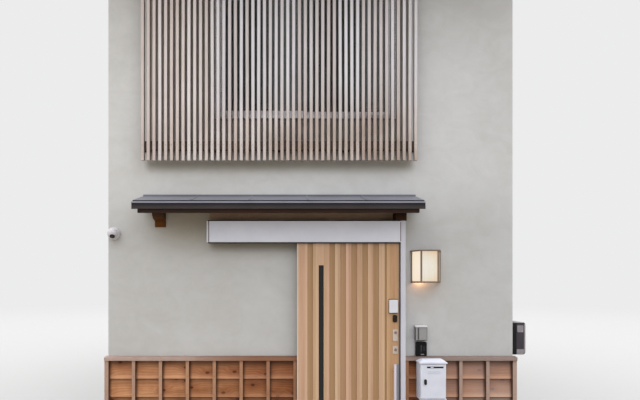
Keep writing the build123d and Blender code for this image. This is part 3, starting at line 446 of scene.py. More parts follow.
def makeLeafFinish():
    # printed woodgrain on the door: straight grain, a tone for each upright strip, and painted shade in the
    # recesses
    look = {"tones": ((168, 132, 101), (190, 155, 128), (204, 172, 149)), "recessShade": (146, 112, 68),
            "recessShadeShare": 0.68, "strip": 0.0251, "firstStrip": 0.0199, "rosy": (1.03, 0.97, 0.99),
            "honey": (0.98, 1.02, 0.90), "stileX": 0.684, "stile": (0.94, 0.86, 0.74)}
    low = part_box("door_leaf")[0]
    finish = Finish("leafWoodgrain")
    x, y, z = finish.axes()
    strip = finish.counted(x, low.x + look["firstStrip"], look["strip"])
    chance = finish.chance(finish.calc("FLOOR", strip))
    place = finish.point(finish.layered((chance, 3.0), (x, 1.0)), y, finish.times(z, 0.025))
    bands = finish.noise(34.0, 4.0, 0.6, place)
    lines = finish.noise(240.0, 4.0, 0.7, place)
    tone = finish.layered((lines, 0.3), (bands, 0.5), (chance, 0.22))
    colour = finish.ramp(tone, (0.3, 0.5, 0.72), look["tones"])
    hue = finish.mix(finish.calc("FRACT", finish.times(chance, 7.3)), look["rosy"], look["honey"])
    colour = finish.multiplied(colour, hue)
    colour = finish.tinted(finish.calc("GREATER_THAN", x, look["stileX"]), colour, look["stile"])
    # painted shade, deeper into each recess
    deep = finish.times(finish.soft(y, low.y + 0.002, low.y + 0.006), look["recessShadeShare"])
    finish.set({"Base Color": finish.stained(deep, colour, look["recessShade"]),
                "Roughness": finish.range(lines, 0.3, 0.7, 0.46, 0.6)})
    finish.bump(lines, 0.0003, 0.5)
    return finish.material


def shadeAndWeatherOnBoards(finish, colour):
    # painted shade with some dirt under each lap and beside each upright, darker towards the door as partly
    # weathering and partly painted shade, bleached along the lower edge and towards the corners
    look = {"doorX": 0.45, "deep": (0.56, 0.44, 0.34), "corner": (0.96, 0.98, 0.98),
            "silver": (168, 146, 138), "lapShadowAndGrime": (58, 31, 18), "bleached": (206, 164, 132),
            "capShade": 0.68, "underLap": 0.07, "batten": 0.015, "backPitch": 0.25167}
    x, y, z = finish.axes()
    # darker towards the door: partly weathering, partly painted shade from the door and the pent roof
    drift = finish.noise(1.7, 2.0, 0.5)
    outward = finish.layered((finish.away(x, look["doorX"]), 1.0), (drift, 0.5))
    tint = finish.mix(finish.soft(outward, 0.45, 2.5), look["deep"], look["corner"])
    colour = finish.multiplied(colour, tint)
    greyed = finish.times(finish.soft(x, 0.95, 1.25), finish.soft(drift, 0.35, 0.62, 0.42, 0.9),
                          finish.soft(y, 1.0, -1.0))
    colour = finish.stained(greyed, colour, look["silver"])
    share = finish.calc("FRACT", finish.counted(z, lapLow.z, lapHeight))  # height within one board
    # painted shade under each lap and under the cap: darker towards the top of each board, paler along its
    # lower edge
    level = finish.soft(share, 1.0, 0.45, 0.64, 1.0)
    level = finish.calc("ADD", level, finish.soft(share, 0.3, 0.03, 0.0, 0.2))
    level = finish.times(level, finish.soft(z, 1.14, 1.07, look["capShade"], 1.0))
    colour = finish.stained(finish.soft(share, 0.34, 0.02, 0.0, 0.26), colour, look["bleached"])
    colour = finish.dim(colour, level)
    # painted shadow with some dirt, in lines beside each upright and under each lap
    pitch = finish.range(y, -0.1, 0.1, townhouse["battenPitch"], look["backPitch"])
    inward = finish.calc("SUBTRACT", halfHouse, finish.calc("ABSOLUTE", x))
    bay = finish.times(finish.calc("FRACT", finish.calc("DIVIDE", inward, pitch)), pitch)
    beside = finish.soft(bay, look["batten"] + 0.03, look["batten"], 0.0, 0.75)
    lap = finish.soft(share, 1.0 - look["underLap"], 1.0, 0.0, 0.85)
    return finish.stained(finish.calc("MAXIMUM", beside, lap), colour, look["lapShadowAndGrime"])


def shadeAndWeatherOnUprights(finish, colour):
    # painted shade with dirt on the faces turned along the wall; darker towards the door, partly weathering
    # and partly painted shade; greyer at the corners
    look = {"doorX": 0.45, "shaded": (78, 44, 26), "corner": (1.02, 1.04, 1.05), "deep": (0.80, 0.70, 0.62),
            "silver": (166, 148, 140)}
    x, y, z = finish.axes()
    outward = finish.away(x, look["doorX"])
    tint = finish.mix(finish.soft(outward, 0.45, 2.3), look["deep"], look["corner"])
    colour = finish.multiplied(colour, tint)
    greyed = finish.calc("MAXIMUM", finish.soft(x, 0.95, 1.25), finish.soft(x, -1.0, -1.88, 0.15, 0.7))
    greyed = finish.times(greyed, finish.soft(z, 0.2, 1.1, 0.45, 0.8), finish.soft(y, 1.0, -1.0, 0.3, 1.0))
    colour = finish.stained(greyed, colour, look["silver"])
    sideways = finish.calc("ABSOLUTE", finish.facing("x"))
    inside = finish.calc("LESS_THAN", finish.calc("ABSOLUTE", x), halfHouse - 0.002)
    shaded = finish.times(finish.soft(sideways, 0.5, 0.9, 0.0, 0.85), inside)
    return finish.stained(shaded, colour, look["shaded"])


def weatherCap(finish, colour):
    # silvery at both corners, still brown beside the door, with a bleached upper arris
    look = {"middleX": 0.2, "fresh": (130, 84, 54), "arris": (0.80, 0.81, 0.83), "right": (0.64, 0.66, 0.68)}
    x = finish.axes()[0]
    drift = finish.noise(2.2, 2.0, 0.5)
    outward = finish.layered((finish.away(x, look["middleX"]), 1.0), (drift, 0.3))
    fresh = finish.times(finish.soft(outward, 1.6, 0.85, 0.0, 0.85), finish.soft(x, 0.85, 0.7))
    colour = finish.stained(fresh, colour, look["fresh"])
    colour = finish.tinted(finish.soft(x, 0.8, 1.0), colour, look["right"])
    return finish.tinted(finish.soft(finish.facing("z"), 0.3, 0.9), colour, look["arris"])


def shadeAndWeatherOnSlats(finish, colour):
    # painted shade on the flanks of the slats; their backs are sheltered and still brown; the lower ends took
    # up more water
    look = {"window": (0.92, 0.965, 1.02), "flankShade": (92, 80, 73), "back": (120, 106, 98),
            "wet": (0.59, 0.52, 0.46)}
    x, _, z = finish.axes()
    sideways = finish.calc("ABSOLUTE", finish.facing("x"))
    colour = finish.stained(finish.soft(sideways, 0.5, 0.9, 0.0, 0.8), colour, look["flankShade"])
    colour = finish.stained(finish.soft(finish.facing("y"), 0.4, 0.8), colour, look["back"])
    middle = finish.times(finish.soft(x, -1.1, -0.7), finish.soft(z, 3.2, 3.7))
    colour = finish.tinted(middle, colour, look["window"])
    drift = finish.noise(2.6, 2.0, 0.5)
    low = finish.times(finish.soft(z, 3.9, 3.0), finish.soft(drift, 0.3, 0.6, 0.5, 1.0),
                       finish.soft(x, -1.2, 0.2, 0.35, 1.0))
    return finish.tinted(low, colour, look["wet"])


def dustAndSkySheenOnTops(finish, colour):
    # painted reflection of the sky, with street dust and bloom, on whatever faces the sky
    look = {"dust": (111, 111, 125)}
    drift = finish.range(finish.noise(3.0, 4.0, 0.6), 0.3, 0.7, 0.75, 1.0)
    share = finish.times(finish.soft(finish.facing("z"), 0.05, 0.75), drift)
    return finish.stained(share, colour, look["dust"])


def faceShadeAndTone(finish, colour):
    # the deep face of the pent roof: navy and darker under the roll as painted shade, greyer and browner
    # towards the foot
    look = {"top": (0.40, 0.40, 0.62), "foot": (1.75, 1.60, 1.42), "topZ": 0.052, "footZ": 0.010}
    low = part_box("pent_roof_sheet")[0]
    share = finish.soft(finish.axes()[2], low.z + look["topZ"], low.z + look["footZ"])
    return finish.multiplied(colour, finish.mix(share, look["top"], look["foot"]))


def lightAndShadeOnBrackets(finish, colour):
    # painted light on the bare amber foot, painted shade under the roof and on the bracket beside the header
    look = {"foot": 1.45, "head": 0.45, "shadeBesideHeader": 0.5}
    low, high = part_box("pent_roof_brackets")
    x, _, z = finish.axes()
    # painted shade on the bracket beside the header, then painted light at the foot and painted shade under
    # the roof
    colour = finish.dim(colour, finish.soft(x, -0.2, 0.2, 1.0, look["shadeBesideHeader"]))
    return finish.dim(colour, finish.soft(z, low.z + 0.03, high.z - 0.04, look["foot"], look["head"]))


plaster = makePlaster()
concrete = makeConcrete()

# Timbers: tones run from dark to pale, and the other tones belong to boards from another log
cedarBoards = makeWood("cedarBoards", {
    "grain": "x", "boards": ("z", lapLow.z, lapHeight), "gloss": 0.62, "toneShift": -0.05,
    "tones": ((142, 86, 50), (180, 122, 82), (206, 154, 114)), "other": ((138, 80, 50), (196, 140, 100)),
    "halo": (146, 80, 44), "haloShare": 0.55, "knot": (98, 51, 25), "knots": 0.92, "knotScale": 6.2,
    "knotSize": 0.102, "knotStretch": 0.62, "ringPitch": 0.021, "ringShare": 0.13, "ringDepth": 0.0002,
    "bendHeight": 0.12, "streakScale": 110.0, "streakShare": 0.42, "streakDepth": 0.0004, "cloudShare": 0.6,
}, shadeAndWeatherOnBoards)
cedarUprights = makeWood("cedarUprights", {
    "grain": "z", "gloss": 0.64, "drift": 5.0, "toneShift": -0.05,
    "tones": ((148, 100, 68), (182, 136, 100), (204, 162, 128)), "other": ((144, 98, 70), (194, 152, 122)),
    "ringShare": 0.25, "streakShare": 0.5, "cloudShare": 0.35,
}, shadeAndWeatherOnUprights)
cedarCap = makeWood("cedarCap", {
    "grain": "x", "gloss": 0.64, "drift": 0.8, "toneShift": -0.05,
    "tones": ((142, 116, 104), (176, 152, 142), (198, 176, 166)), "other": ((140, 114, 102), (192, 168, 156)),
    "ringShare": 0.25, "streakShare": 0.5, "cloudShare": 0.35,
}, weatherCap)
slatTimber = makeWood("weatheredSlats", {
    "grain": "z", "tagged": True, "gloss": 0.8,
    "tones": ((191, 181, 180), (223, 217, 218), (238, 234, 236)), "other": ((181, 167, 162), (229, 218, 215)),
    "ringPitch": 0.007, "ringShare": 0.2, "streakShare": 0.5, "streakDepth": 0.001, "cloudScale": 2.2,
    "cloudShare": 0.4,
}, shadeAndWeatherOnSlats)
railTimber = makeWood("latticeRails", {
    "grain": "x", "gloss": 0.75, "drift": 1.0,
    "tones": ((62, 49, 41), (86, 70, 60), (106, 88, 76)), "other": ((60, 48, 40), (100, 84, 74)),
})
roofTimber = makeWood("stainedTimber", {
    "grain": "x", "gloss": 0.6, "drift": 1.2, "ringPitch": 0.013, "sheen": 0.15,
    "tones": ((27, 15, 8), (44, 26, 15), (60, 37, 24)), "other": ((27, 17, 11), (56, 36, 26)),
})
rafterTimber = makeWood("rafterTimber", {
    "grain": "z", "gloss": 0.6, "drift": 1.2,
    "tones": ((54, 37, 25), (84, 58, 40), (110, 80, 56)), "other": ((54, 38, 27), (104, 76, 54)),
})
bracketTimber = makeWood("amberBrackets", {
    "grain": "z", "gloss": 0.45, "drift": 2.0, "ringPitch": 0.009, "ringShare": 0.45, "sheen": 0.15,
    "tones": ((38, 19, 3), (70, 37, 5), (98, 58, 12)), "other": ((42, 22, 6), (94, 56, 15)),
}, lightAndShadeOnBrackets)
floorTimber = makeWood("floorBoards", {
    "grain": "x", "boards": ("y", 0.0, 0.15), "gloss": 0.5,
    "tones": ((112, 80, 54), (150, 112, 80), (178, 140, 104)), "other": ((108, 76, 52), (168, 130, 96)),
})
# its tone, in the shade over the header, stands in for warm bounce light off the timber
warmBounceBoard = makeWood("backBoard", {
    "grain": "x", "gloss": 0.7, "drift": 1.2, "sheen": 0.15,
    "tones": ((150, 124, 104), (176, 148, 126), (196, 168, 146)), "other": ((148, 122, 102), (188, 162, 140)),
})
leafFinish = makeLeafFinish()

# Metals, brushed along the axis that the brush draws out
roofMetal = makeMetal("coatedRoofSheet", {
    "tones": ((44, 44, 54), (58, 58, 66)), "gloss": 0.34, "waveDepth": 0.003,
}, dustAndSkySheenOnTops)
faceMetal = makeMetal("pentRoofFace", {
    "tones": ((38, 35, 38), (46, 43, 46)), "gloss": 0.42, "sheen": 0.2,
}, faceShadeAndTone)
# the roll is the same sheet as the dark face, made pale as painted reflection of the sky
rollSkySheen = makeMetal("pentRoofRoll", {
    "tones": ((121, 122, 134), (136, 137, 149)), "gloss": 0.34, "brush": (0.03, 1.0, 1.0),
})
creaseShade = makeMetal("creaseShade", {"tones": ((26, 26, 42), (34, 34, 52)), "gloss": 0.5})
aluminium = makeMetal("satinAluminium", {
    "tones": ((206, 208, 219), (217, 219, 229)), "metal": 0.2, "gloss": 0.45,
    "brush": (0.02, 1.0, 1.0), "fineScale": 500.0, "waveDepth": 0.0004,
})
jambAluminium = makeMetal("jambAluminium", {
    "tones": ((192, 193, 204), (202, 203, 213)), "metal": 0.2, "gloss": 0.45,
    "brush": (1.0, 1.0, 0.02), "fineScale": 500.0, "waveDepth": 0.0004,
})
frameAluminium = makeMetal("windowAluminium", {
    "tones": ((220, 217, 222), (234, 231, 236)), "metal": 0.75, "gloss": 0.3,
    "brush": (0.02, 1.0, 1.0), "fineScale": 500.0, "waveDepth": 0.0003,
})
trackMetal = makeMetal("galvanisedTrack", {
    "tones": ((140, 142, 145), (168, 170, 172)), "metal": 0.8, "gloss": 0.45,
})
steel = makeMetal("brushedSteel", {
    "tones": ((124, 122, 123), (150, 148, 149)), "metal": 0.4, "gloss": 0.42,
    "brush": (1.0, 1.0, 0.015), "fineScale": 700.0, "fineShare": 0.8, "waveDepth": 0.0002,
})
handleSteel = makeMetal("handleSteel", {
    "tones": ((196, 188, 200), (214, 206, 216)), "metal": 0.5, "gloss": 0.34,
    "brush": (1.0, 1.0, 0.015), "fineScale": 700.0, "fineShare": 0.8, "waveDepth": 0.0001,
})
hoodHighlightSteel = makeMetal("hoodHighlightSteel", {
    "tones": ((216, 214, 217), (232, 230, 232)), "metal": 0.3, "gloss": 0.3, "brush": (0.02, 1.0, 1.0),
})
handleShadowMetal = makeMetal("handleShadowStripMetal", {
    "tones": ((132, 134, 141), (152, 154, 160)), "metal": 0.3, "gloss": 0.4, "brush": (1.0, 1.0, 0.015),
})
trimGold = makeMetal("leafTrim", {
    "tones": ((198, 178, 158), (214, 196, 178)), "metal": 0.1, "gloss": 0.4, "brush": (1.0, 1.0, 0.015),
})
jointShade = makeMetal("headerJoint", {
    "tones": ((92, 76, 80), (112, 94, 98)), "metal": 0.1, "gloss": 0.5,
})
lampMetal = makeMetal("bronzeCoat", {
    "tones": ((106, 88, 72), (136, 116, 98)), "metal": 0.2, "gloss": 0.5, "fineScale": 300.0,
})

# Moulded and sprayed parts
whitePlastic = makePlastic("whitePlastic", {"tones": ((206, 209, 218), (216, 219, 227)), "gloss": 0.36})
cameraPlastic = makePlastic("cameraPlastic", {"tones": ((196, 193, 200), (206, 203, 209)), "gloss": 0.4})
mailboxPaint = makePlastic("mailboxPaint", {
    "tones": ((202, 206, 220), (211, 215, 228)), "gloss": 0.36, "peelScale": 260.0, "peelDepth": 0.00012,
})
blackPlastic = makePlastic("blackPlastic", {"tones": ((9, 9, 10), (13, 13, 14)), "gloss": 0.22, "sheen": 0.2})
blackGloss = makePlastic("blackGloss", {"tones": ((10, 10, 11), (16, 16, 17)), "gloss": 0.12, "sheen": 0.13})
darkTrim = makePlastic("darkTrim", {"tones": ((30, 23, 20), (42, 33, 29)), "gloss": 0.5, "sheen": 0.2})
sealRubber = makePlastic("sealRubber", {"tones": ((88, 90, 97), (104, 106, 112)), "gloss": 0.5})
brushSealAndShadow = makePlastic("brushSealAndShadow", {
    "tones": ((34, 27, 22), (54, 44, 37)), "gloss": 0.8, "cloudScale": 260.0,
})
plateMetal = makePlastic("paleLockPlate", {"tones": ((182, 170, 160), (196, 184, 176)), "gloss": 0.3})
keyMetal = makePlastic("keyCylinder", {"tones": ((126, 106, 102), (150, 128, 122)), "gloss": 0.3})
smokyCover = makePlastic("smokyCover", {
    "tones": ((50, 46, 53), (64, 60, 67)), "gloss": 0.12, "cloudScale": 6.0, "sheen": 0.3,
})
smokyEdge = makePlastic("smokyCoverEdge", {"tones": ((130, 125, 129), (152, 147, 151)), "gloss": 0.2})
meterBase = makePlastic("meterBase", {"tones": ((16, 15, 16), (24, 22, 23)), "gloss": 0.5, "sheen": 0.2})
meterFace = makePlastic("meterFace", {
    "tones": ((122, 118, 123), (146, 142, 147)), "gloss": 0.3, "cloudScale": 14.0,
})

# Glass and light
windowGlass = makeGlass("windowGlass", {
    "tones": ((206, 215, 220), (218, 226, 230)), "gloss": 0.02, "clear": 0.84, "sheen": 0.5,
})
darkGlass = makeGlass("darkGlass", {
    "tones": ((24, 23, 24), (32, 31, 32)), "gloss": 0.06, "clear": 0.0, "sheen": 0.3,
})
lensGlass = makeGlass("lensGlass", {
    "tones": ((14, 15, 17), (22, 23, 26)), "gloss": 0.04, "clear": 0.0, "sheen": 0.5,
})
bulbGlow = makeBulb()
lampLow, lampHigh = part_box("wall_lamp_frame")
bulbPlace = Vector(((lampLow.x + lampHigh.x) / 2 - 0.05, lampHigh.y - 0.06, lampLow.z + 0.14))
lampPane = makeLampPane(bulbPlace)
print("materials made:", len(bpy.data.materials))

# Finish of each piece that keeps its own shape, with the width of the rounding on its edges
dressing = [
    (plaster, 0.0, ["front_wall_left", "front_wall_right", "front_wall_over_door", "front_wall_upper",
                    "back_wall", "left_wall", "right_wall"]),
    (concrete, 0.006, ["foundation", "ground_floor"]),
    (floorTimber, 0.0, ["upper_floor"]),
    (cedarBoards, 0.0015, ["wainscot_boards"]),
    (cedarUprights, 0.002, ["wainscot_battens"]),
    (cedarCap, 0.002, ["wainscot_cap"]),
    (rafterTimber, 0.002, ["rafters"]),
    (roofTimber, 0.002, ["ridge_beam", "bargeboards", "eaves_fascias", "pent_roof_frame",
                         "lattice_brackets"]),
    (roofTimber, 0.0, ["roof_deck_front", "roof_deck_back"]),
    (roofMetal, 0.003, ["roof_sheet_front", "roof_sheet_back", "ridge_cap"]),
    (bracketTimber, 0.003, ["pent_roof_brackets"]),
    (frameAluminium, 0.0015, ["window_frames", "window_sashes"]),
    (windowGlass, 0.0, ["window_glass"]),
    (aluminium, 0.0015, ["door_header", "door_lining", "door_sill_rail"]),
    (jambAluminium, 0.0015, ["door_jamb"]),
    (trackMetal, 0.0005, ["door_track", "door_hangers"]),
    (leafFinish, 0.0012, ["door_leaf"]),
    (darkGlass, 0.0, ["door_glass"]),
    (handleSteel, 0.001, ["door_handle"]),
    (steel, 0.001, ["outlet_cover"]),
    (lampMetal, 0.001, ["wall_lamp_frame"]),
    (lampPane, 0.0, ["wall_lamp_panes"]),
    (mailboxPaint, 0.0012, ["mailbox_body", "mailbox_door"]),
]


def roundEdges(piece, width):
    # a small round on every sharp edge, so that it catches the light
    weld = piece.modifiers.new("weld", "WELD")
    weld.merge_threshold = 0.00002
    bevel = piece.modifiers.new("rounding", "BEVEL")
    bevel.width = width
    bevel.segments = 2
    bevel.limit_method = "ANGLE"
    bevel.angle_limit = math.radians(35)
    bevel.use_clamp_overlap = True


for material, rounding, names in dressing:
    for name in names:
        piece = nodes[name]
        for slot in piece.material_slots:
            slot.material = material
        if rounding:
            roundEdges(piece, rounding)
print("pieces dressed")


# Shapes: each is a list of points and a list of faces, which give the points by number
def stacked(rings):
    # a skin over rings of points, closed at both ends
    size = len(rings[0])
    points = [point for ring in rings for point in ring]
    faces = [list(range(size)), list(range(len(points) - size, len(points)))]
    for start in range(0, len(points) - size, size):
        for i in range(size):
            j = (i + 1) % size
            faces.append([start + i, start + j, start + j + size, start + i + size])
    return points, faces


def prism(outline, start, end, axis="x"):
    # an outline drawn out along one axis; its points are the other two coordinates, in order
    place = "xyz".index(axis)
    return stacked([[(*point[:place], level, *point[place:]) for point in outline] for level in (start, end)])


def rectangle(low, high):
    return [(low[0], low[1]), (high[0], low[1]), (high[0], high[1]), (low[0], high[1])]


def block(low, high):
    return prism(rectangle(low, high), low[2], high[2], "z")


def arc(centre, radius, start, end, steps):
    # points along part of a circle, from one angle to the other in degrees
    turns = [math.radians(start + (end - start) * step / steps) for step in range(steps + 1)]
    return [(centre[0] + radius * math.cos(turn), centre[1] + radius * math.sin(turn)) for turn in turns]


def circle(centre, radius, sides):
    return arc(centre, radius, 0, 360, sides)[:-1]


def roundedRectangle(low, high, radius):
    corners = [(high[0] - radius, high[1] - radius, 0), (low[0] + radius, high[1] - radius, 90),
               (low[0] + radius, low[1] + radius, 180), (high[0] - radius, low[1] + radius, 270)]
    return [point for u, v, turn in corners for point in arc((u, v), radius, turn, turn + 90, 4)]


def centred(x, z, width, height):
    # the low and high corners of a rectangle on the wall
    return (x - width / 2, z - height / 2), (x + width / 2, z + height / 2)


def plate(corners, back, front, radius=0.0):
    # an upright plate on the street side, with round corners where a radius is given
    outline = roundedRectangle(*corners, radius) if radius else rectangle(*corners)
    return prism(outline, front, back, "y")


def disc(centre, radius, front, back, sides):
    return prism(circle(centre, radius, sides), front, back, "y")


def bars(low, high, width, front, back):
    # four bars round the inside of a rectangle on the wall
    (left, bottom), (right, top) = low, high
    edges = ((left, left + width, bottom, top), (right - width, right, bottom, top),
             (left, right, bottom, bottom + width), (left, right, top - width, top))
    return [block((a, front, c), (b, back, d)) for a, b, c, d in edges]


def turned(profile, matrix, sides):
    # a turned piece: radius and height along its own axis, then put in place by the matrix
    return stacked([[matrix @ Vector((x, y, height)) for x, y in circle((0, 0), radius, sides)]
                    for radius, height in profile])


def outOfWall(x, y, z):
    # the place of a turned piece whose axis points to the street
    return Matrix.Translation((x, y, z)) @ Matrix.Rotation(math.radians(90), 4, "X")


def makePiece(name, shapes, material, body="house", rounding=0.0, stands=(), smooth=False,
              numbered=False):
    # makes one piece of its shapes, which rides on its body; numbered gives each shape its own number
    bm = bmesh.new()
    number = bm.verts.layers.float.new("boardNumber") if numbered else None
    for index, (points, faces) in enumerate(shapes):
        verts = [bm.verts.new(point) for point in points]
        for face in faces:
            bm.faces.new([verts[i] for i in face])
        if numbered:
            for vert in verts:
                vert[number] = index + 0.5
    bmesh.ops.recalc_face_normals(bm, faces=bm.faces)
    mesh = bpy.data.meshes.new(name)
    bm.to_mesh(mesh)
    bm.free()
    mesh.materials.append(material)
    if smooth:
        mesh.shade_smooth()
        mesh.set_sharp_from_angle(angle=math.radians(40))
    piece = bpy.data.objects.new(name, mesh)
    bpy.context.scene.collection.objects.link(piece)
    if rounding:
        roundEdges(piece, rounding)
    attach(piece, body)
    if stands:
        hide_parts(*stands)


def buildLattice():
    # upright slats, each a little bowed and with its own number for the grain, on two rails
    look = {"slats": 48, "width": 0.030, "depth": 0.032, "chamfer": 0.0025, "bow": 0.0011, "lift": 0.002,
            "levels": 9, "railInset": 0.140, "railHeight": 0.080, "railNotch": 0.010, "screwRadius": 0.0036}
    low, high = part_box("lattice")
    width, depth, c = look["width"], look["depth"], look["chamfer"]
    pitch = (high.x - low.x - width) / (look["slats"] - 1)
    section = [(c, 0), (width - c, 0), (width, c), (width, depth - c), (width - c, depth), (c, depth),
               (0, depth - c), (0, c)]
    draw = random.Random(11)
    slats = []
    for slat in range(look["slats"]):
        left = low.x + slat * pitch
        bowX, bowY = draw.uniform(-1, 1) * look["bow"], draw.uniform(-1, 1) * look["bow"] * 0.5
        lift = draw.uniform(0.0, look["lift"])
        rings = []
        for level in range(look["levels"]):
            share = level / (look["levels"] - 1)
            z = low.z + lift + (high.z - low.z - lift) * share
            sway = math.sin(math.pi * share * 2)
            rings.append([(left + u + bowX * sway, low.y + v + bowY * (sway + 1), z) for u, v in section])
        slats.append(stacked(rings))
    makePiece("latticeSlats", slats, slatTimber, stands=["lattice"], numbered=True)

    rails = []
    screws = []
    railFront = low.y + depth - look["railNotch"]
    for middle in (low.z + look["railInset"], high.z - look["railInset"]):
        rails.append(block((low.x, railFront, middle - look["railHeight"] / 2),
                           (high.x, high.y, middle + look["railHeight"] / 2)))
        for slat in range(look["slats"]):
            centre = (low.x + slat * pitch + width / 2, middle)
            screws.append(disc(centre, look["screwRadius"], low.y - 0.0009, low.y + 0.001, 10))
    makePiece("latticeRails", rails, railTimber, rounding=0.003)
    makePiece("latticeScrews", screws, trackMetal)


def buildRoofSeams():
    # standing seams of the metal roof, from the ridge cap down to the eaves
    look = {"height": 0.024, "width": 0.011, "underCap": 0.13, "lip": 0.02}
    pitch, slope, height = townhouse["seamPitch"], townhouse["roofSlope"], look["height"]
    for end, side in (("Front", -1), ("Back", 1)):
        low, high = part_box("roof_sheet_" + end.lower())
        reach = max(abs(low.y), abs(high.y))
        topY, eaveY, lipY = side * look["underCap"], side * (reach - 0.001), side * (reach - look["lip"])
        topZ, eaveZ = high.z - look["underCap"] * slope, high.z - reach * slope
        outline = [(topY, topZ - 0.002), (eaveY, eaveZ - 0.002), (eaveY, eaveZ + height * 0.7),
                   (lipY, eaveZ + height + 0.008), (topY, topZ + height + 0.001)]
        count = int((high.x - low.x) / pitch)
        middles = [(seam - count / 2) * pitch for seam in range(count + 1)]
        seams = [prism(outline, x - look["width"] / 2, x + look["width"] / 2) for x in middles]
        makePiece("roofSeams" + end, seams, roofMetal, rounding=0.003)


def buildRidgeFixings():
    # screws along both flanks of the ridge cap, halfway between the seams
    look = {"radius": 0.007, "edge": 0.035, "endRoom": 0.2}
    pitch, slope, r = townhouse["seamPitch"], townhouse["roofSlope"], look["radius"]
    profile = [(r * 1.5, 0.0), (r * 1.5, 0.0025), (r, 0.003), (r, 0.006), (r * 0.6, 0.0072)]
    low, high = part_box("ridge_cap")
    count = int((high.x - low.x - look["endRoom"]) / pitch)
    screws = []
    for step in range(count + 1):
        x = (step - count / 2 + 0.5) * pitch
        if x > high.x - 0.05:
            continue
        for side in (-1, 1):
            y = side * (high.y - look["edge"])
            foot = Matrix.Translation((x, y, high.z - abs(y) * slope - 0.002))
            screws.append(turned(profile, foot @ Matrix.Rotation(-side * math.atan(slope), 4, "X"), 12))
    makePiece("ridgeScrews", screws, trackMetal)


def buildPentRoof():
    # folded sheet of the pent roof: an upstand at the wall, a stepped slope, a roll and a deep face
    look = {"fall": 94 / 343, "upstand": 0.004, "stepBack": 0.029, "stepRise": 0.006, "stepDepth": 0.013,
            "roll": 0.0115, "faceDrop": 0.066, "skin": 0.006, "seamPitch": 0.636, "seamWidth": 0.016,
            "seamHeight": 0.003}
    low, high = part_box("pent_roof_sheet")
    wallY, edgeY, edgeZ = high.y, low.y, low.z + look["faceDrop"]
    rise, skin = look["stepRise"], look["skin"]

    def topAt(y):
        return edgeZ + (y - edgeY) * look["fall"]
    stepY = edgeY + look["stepBack"]
    creaseZ = topAt(stepY) + rise - look["stepDepth"]
    panelY = wallY - look["upstand"]
    panel = [(panelY, topAt(wallY) + rise), (stepY, topAt(stepY) + rise), (stepY, creaseZ),
             (panelY, topAt(wallY) - skin)]
    # the upstand leans back a little, so that it keeps the tone of the slope
    upstand = [(wallY, topAt(wallY) - skin), (wallY, high.z), (wallY - 0.001, high.z),
               (wallY - look["upstand"] * 3.4, topAt(wallY) + rise * 0.5)]
    slope = [prism(panel, low.x + 0.0015, high.x - 0.0015), prism(upstand, low.x + 0.002, high.x - 0.002)]
    seams = int((high.x - low.x) / look["seamPitch"])
    seamTop, seamY = rise + look["seamHeight"], wallY - 0.014
    ridge = [(seamY, topAt(wallY) + seamTop), (stepY + 0.004, topAt(stepY + 0.004) + seamTop),
             (stepY + 0.004, topAt(stepY + 0.004)), (seamY, topAt(wallY))]
    for seam in range(1, seams + 1):
        x = low.x + seam * (high.x - low.x) / (seams + 1)
        slope.append(prism(ridge, x - look["seamWidth"] / 2, x + look["seamWidth"] / 2))
    makePiece("pentRoofSlope", slope, roofMetal, rounding=0.0012, stands=["pent_roof_sheet"])

    left, right = low.x + 0.002, high.x - 0.002
    # painted shade: dark strips in the crease at the step and behind the roll
    creaseTop = topAt(stepY) + rise - 0.0012
    crease = [block((left, stepY - 0.0012, creaseZ - 0.002), (right, stepY + 0.002, creaseTop)),
              block((left, edgeY + look["roll"], creaseZ - 0.012), (right, stepY + 0.004, creaseZ - 0.0015))]
    makePiece("pentRoofCrease", crease, creaseShade)

    radius = look["roll"] * 0.92
    rollY, rollZ = edgeY + radius, edgeZ - radius
    outline = arc((rollY, rollZ), radius, -20, 205, 14) + [(rollY, rollZ - radius * 0.6)]
    makePiece("pentRoofRoll", [prism(outline, low.x, high.x)], rollSkySheen, smooth=True)

    faceTop, outer, inner = rollZ - radius * 0.3, edgeY + 0.0022, edgeY + 0.0052
    outline = [(edgeY + 0.010, faceTop), (inner, faceTop), (inner, rollZ - radius * 0.9),
               (outer, rollZ - radius * 1.15), (outer, low.z + 0.009), (edgeY, low.z + 0.006),
               (edgeY, low.z + 0.001), (edgeY + 0.003, low.z), (edgeY + 0.012, low.z),
               (edgeY + 0.012, faceTop)]
    cheek = [(edgeY + 0.004, edgeZ - 0.004), (wallY - 0.003, topAt(wallY) + 0.001),
             (wallY - 0.003, topAt(wallY) - look["faceDrop"]), (edgeY + 0.004, low.z + 0.001)]
    edge = [prism(outline, low.x, high.x)] + [prism(cheek, x, x + 0.004) for x in (low.x, high.x - 0.004)]
    makePiece("pentRoofFace", edge, faceMetal, rounding=0.0006)


def buildHeaderBack():
    # a pale board on the wall over the header, whose brown in the shade stands in for warm bounce light, and
    # a dark strip over the header as painted shadow
    look = {"top": 2.535, "thick": 0.012, "shadowLine": 0.0085}
    low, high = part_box("door_header")
    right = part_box("door_jamb")[1].x
    board = block((low.x + 0.004, high.y - look["thick"], high.z + 0.0005), (right, high.y, look["top"]))
    makePiece("headerBackBoard", [board], warmBounceBoard, rounding=0.0015)
    shadowLine = block((low.x + 0.006, low.y + 0.004, high.z - 0.0005),
                (high.x - 0.002, high.y, high.z + look["shadowLine"]))
    makePiece("headerTopShadow", [shadowLine], darkTrim, rounding=0.001)


